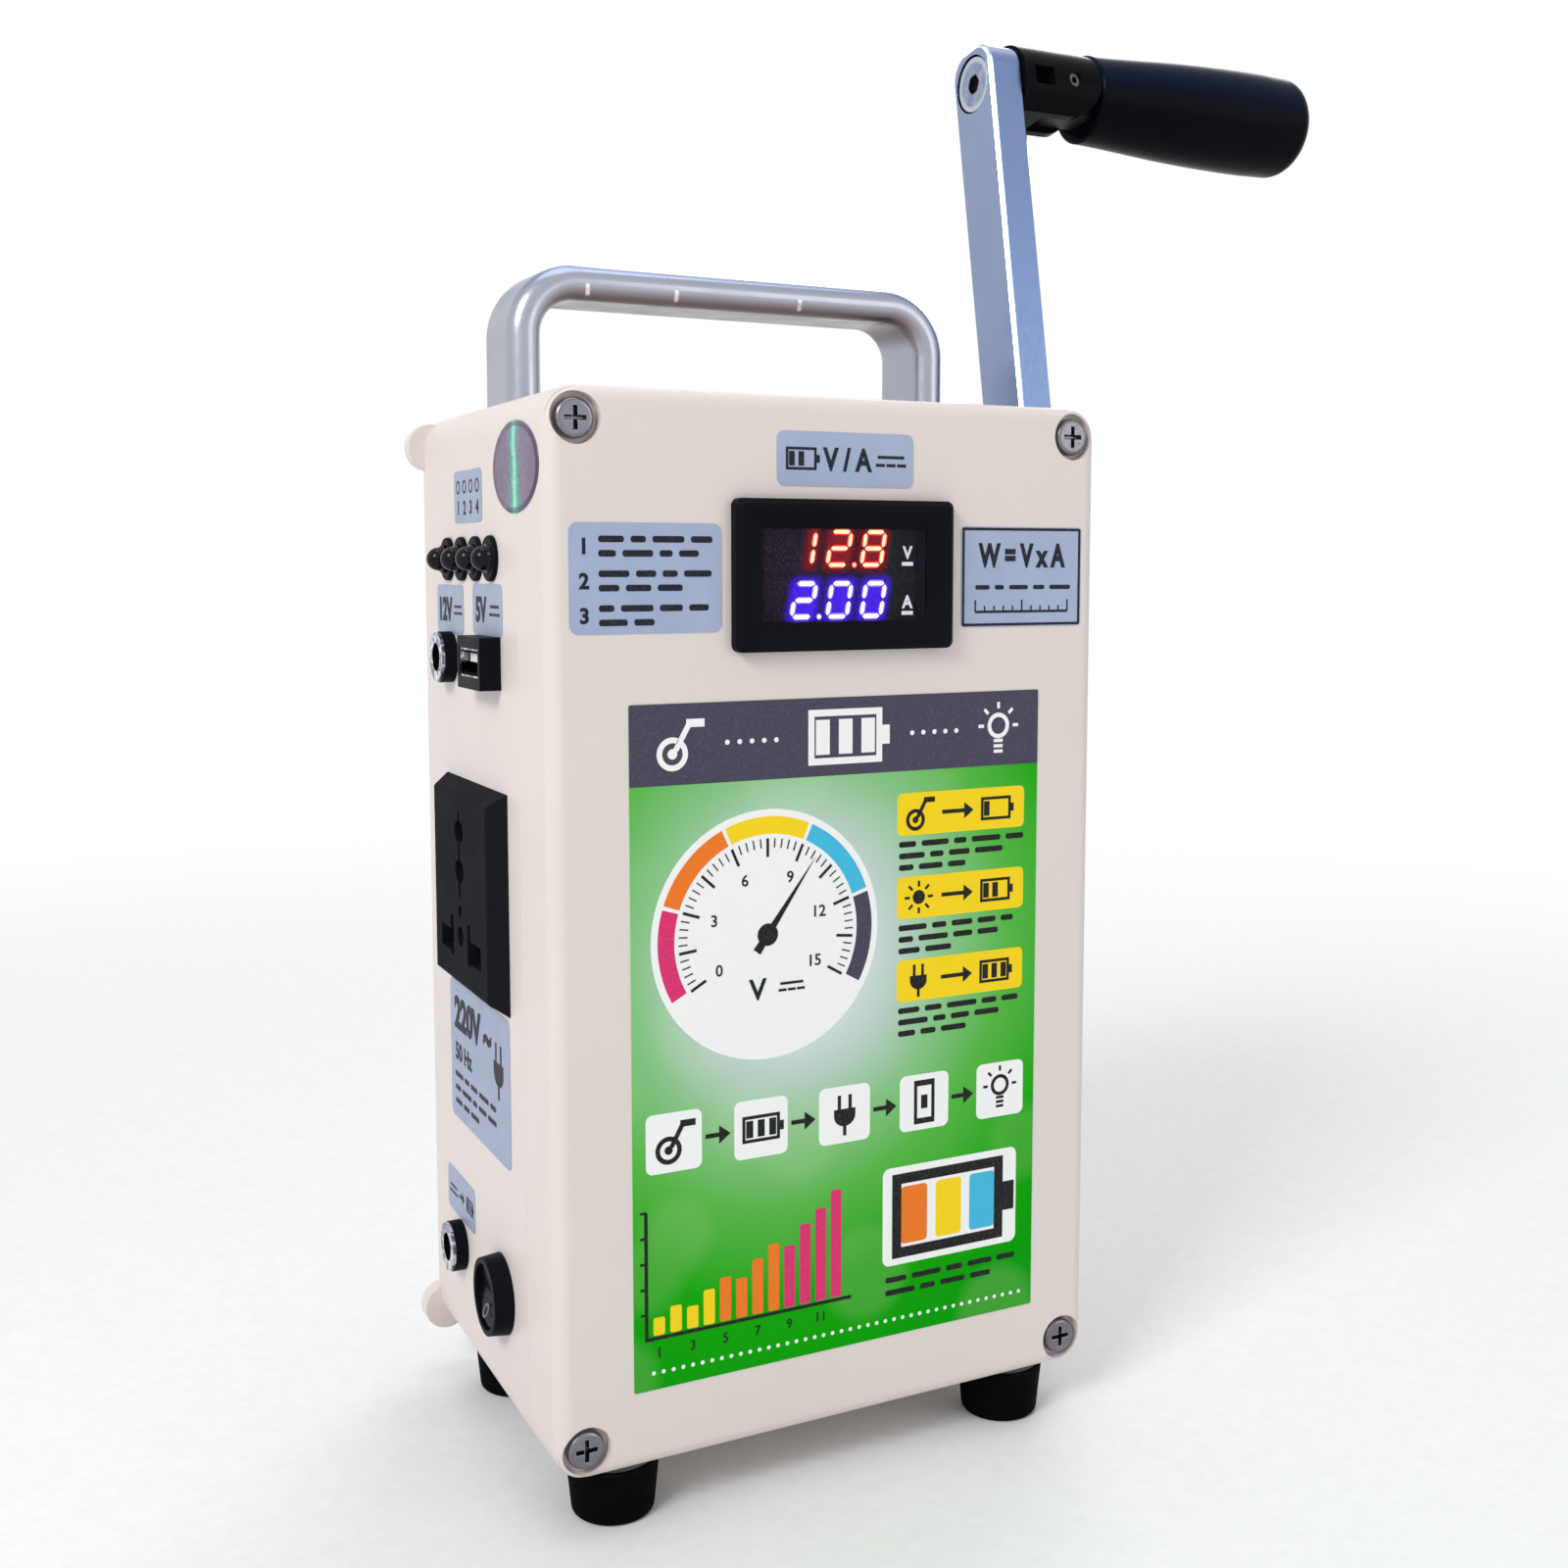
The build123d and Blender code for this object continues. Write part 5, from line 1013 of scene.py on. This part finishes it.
for letter, v in (("V", 175.1), ("A", 165.4)):
    lettering(f"unit_{letter}", letter, 15.2, v, 2.6, behind_window, unit_tone, -0.01, stretch=0.95,
              bold=0.03, slot=LIT_SLOT)
    line = bar(13.9, v - 2.2, 16.5, v - 2.2, 0.75)
    light(f"unit_line_{letter}", [line], behind_window, unit_tone, -0.01)


# ---- lamp domes
def turned(bm, profile, origin, n=32):
    """Sweep (radius, height) pairs round an axis that points out of the left side."""
    x, y, z = origin
    bridge(bm, [[bm.verts.new(Vector((x - h, y + r * math.cos(2 * math.pi * i / n),
                                      z + r * math.sin(2 * math.pi * i / n))) * MM)
                 for i in range(n if r else 1)] for r, h in profile])


DOME_R, DOME_FOOT = 2.45, 1.35
dome = [(0.0, -6.0), (DOME_R, -6.0), (DOME_R, 0.1), (2.85, 0.1), (2.9, 0.2), (2.9, 0.75), (2.8, 0.9),
        (2.47, 0.95), (DOME_R, DOME_FOOT)]
dome += [(DOME_R * math.cos(t), DOME_FOOT + DOME_R * math.sin(t))
         for t in [math.pi * i / 20 for i in range(1, 10)]]
dome += [(0.0, DOME_FOOT + DOME_R)]
bm = bmesh.new()
for k in range(4):
    turned(bm, dome, (-SIDE, LAMP_Y + LAMP_PITCH * (k - 1.5), LAMP_Z))
lamps = finish_mesh("lamp_domes", bm, MATERIALS["lamp_smoke"], smooth=True)
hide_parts("lamp_lenses")

# ---- camera
PHOTO, FOCAL, RISE = 1600.0, 1783.3, 58.1      # pixels of the photograph
SENSOR = 36.0
cam_data = bpy.data.cameras.new("photo_camera")
cam_data.sensor_fit = "HORIZONTAL"
cam_data.sensor_width = SENSOR
cam_data.lens = SENSOR * FOCAL / PHOTO
cam_data.shift_y = -RISE / PHOTO
cam_data.clip_start = 0.01
camera = bpy.data.objects.new("photo_camera", cam_data)
camera.location = (-0.1650, -0.3416, 0.1724)
camera.rotation_euler = (math.radians(90 - 5.25), math.radians(0.04), math.radians(-27.04))
bpy.context.scene.collection.objects.link(camera)
bpy.context.scene.camera = camera


# ---- lights
def area(name, at, aim, size, power):
    data = bpy.data.lights.new(name, "AREA")
    data.shape = "RECTANGLE"
    data.size, data.size_y = size
    data.energy = power
    ob = bpy.data.objects.new(name, data)
    ob.location = at
    ob.rotation_euler = (Vector(aim) - Vector(at)).to_track_quat("-Z", "Y").to_euler()
    bpy.context.scene.collection.objects.link(ob)


area("key_light", (-1.05, -0.62, 0.95), (0, 0, 0.12), (0.5, 0.5), 11.5)
area("top_light", (0.1, 0.1, 1.4), (0, 0, 0.1), (0.9, 0.9), 4.5)
area("fill_light", (0.9, -1.2, 0.5), (0, 0, 0.12), (0.8, 0.8), 2.3)
area("rear_light", (0.9, 1.0, 0.9), (0, 0, 0.12), (0.9, 0.6), 6)


# ---- white surroundings
def background_rays(tree):
    """1 for rays that show the surroundings: to the camera, in gloss or through glass."""
    path = tree.nodes.new("ShaderNodeLightPath")
    seen = path.outputs["Is Camera Ray"]
    for kind in ("Is Glossy Ray", "Is Transmission Ray"):
        either = tree.nodes.new("ShaderNodeMath")
        either.operation = "MAXIMUM"
        tree.links.new(seen, either.inputs[0])
        tree.links.new(path.outputs[kind], either.inputs[1])
        seen = either.outputs[0]
    return seen


world = bpy.data.worlds.new("studio")
bpy.context.scene.world = world
world.use_nodes = True
tree = world.node_tree
tree.nodes.clear()
inputs = [background_rays(tree)]
for colour, strength in (((0.92, 0.96, 1.0, 1), 0.45), ((1, 1, 1, 1), 1.0)):
    ground = tree.nodes.new("ShaderNodeBackground")
    ground.inputs["Color"].default_value = colour
    ground.inputs["Strength"].default_value = strength
    inputs.append(ground.outputs[0])
choice = tree.nodes.new("ShaderNodeMixShader")
for i, source in enumerate(inputs):
    tree.links.new(source, choice.inputs[i])
tree.links.new(choice.outputs[0], tree.nodes.new("ShaderNodeOutputWorld").inputs[0])

# ---- floor, white in the distance
REACH = 6.0
floor_mesh = bpy.data.meshes.new("floor")
corners = ((-REACH, -REACH), (REACH, -REACH), (REACH, REACH), (-REACH, REACH))
floor_mesh.from_pydata([(x, y, FLOOR * MM) for x, y in corners], [], [(0, 1, 2, 3)])
floor = bpy.data.objects.new("floor", floor_mesh)
bpy.context.scene.collection.objects.link(floor)
paper = Mat("floor_paper", Roughness=0.9)
paper.set(Base_Color=paper.ramp(paper.noise(300, 4, 0.6),
                                [(0.3, (0.86, 0.86, 0.86, 1)), (0.7, (0.9, 0.9, 0.9, 1))]))
distance = paper.node("ShaderNodeVectorMath", operation="LENGTH")
paper.put(distance, 0, paper.coords())
fade = paper.range(distance.outputs["Value"], 0.25, 0.9, 0, 1, smooth=True)
white = paper.node("ShaderNodeEmission")
blend = paper.node("ShaderNodeMixShader")
paper.put(blend, 0, paper.math("MULTIPLY", fade, background_rays(paper.t)))
paper.put(blend, 1, paper.b.outputs[0])
paper.put(blend, 2, white.outputs[0])
paper.put(paper.t.nodes["Material Output"], 0, blend.outputs[0])
floor_mesh.materials.append(paper.m)

bpy.context.scene.view_settings.view_transform = "Standard"
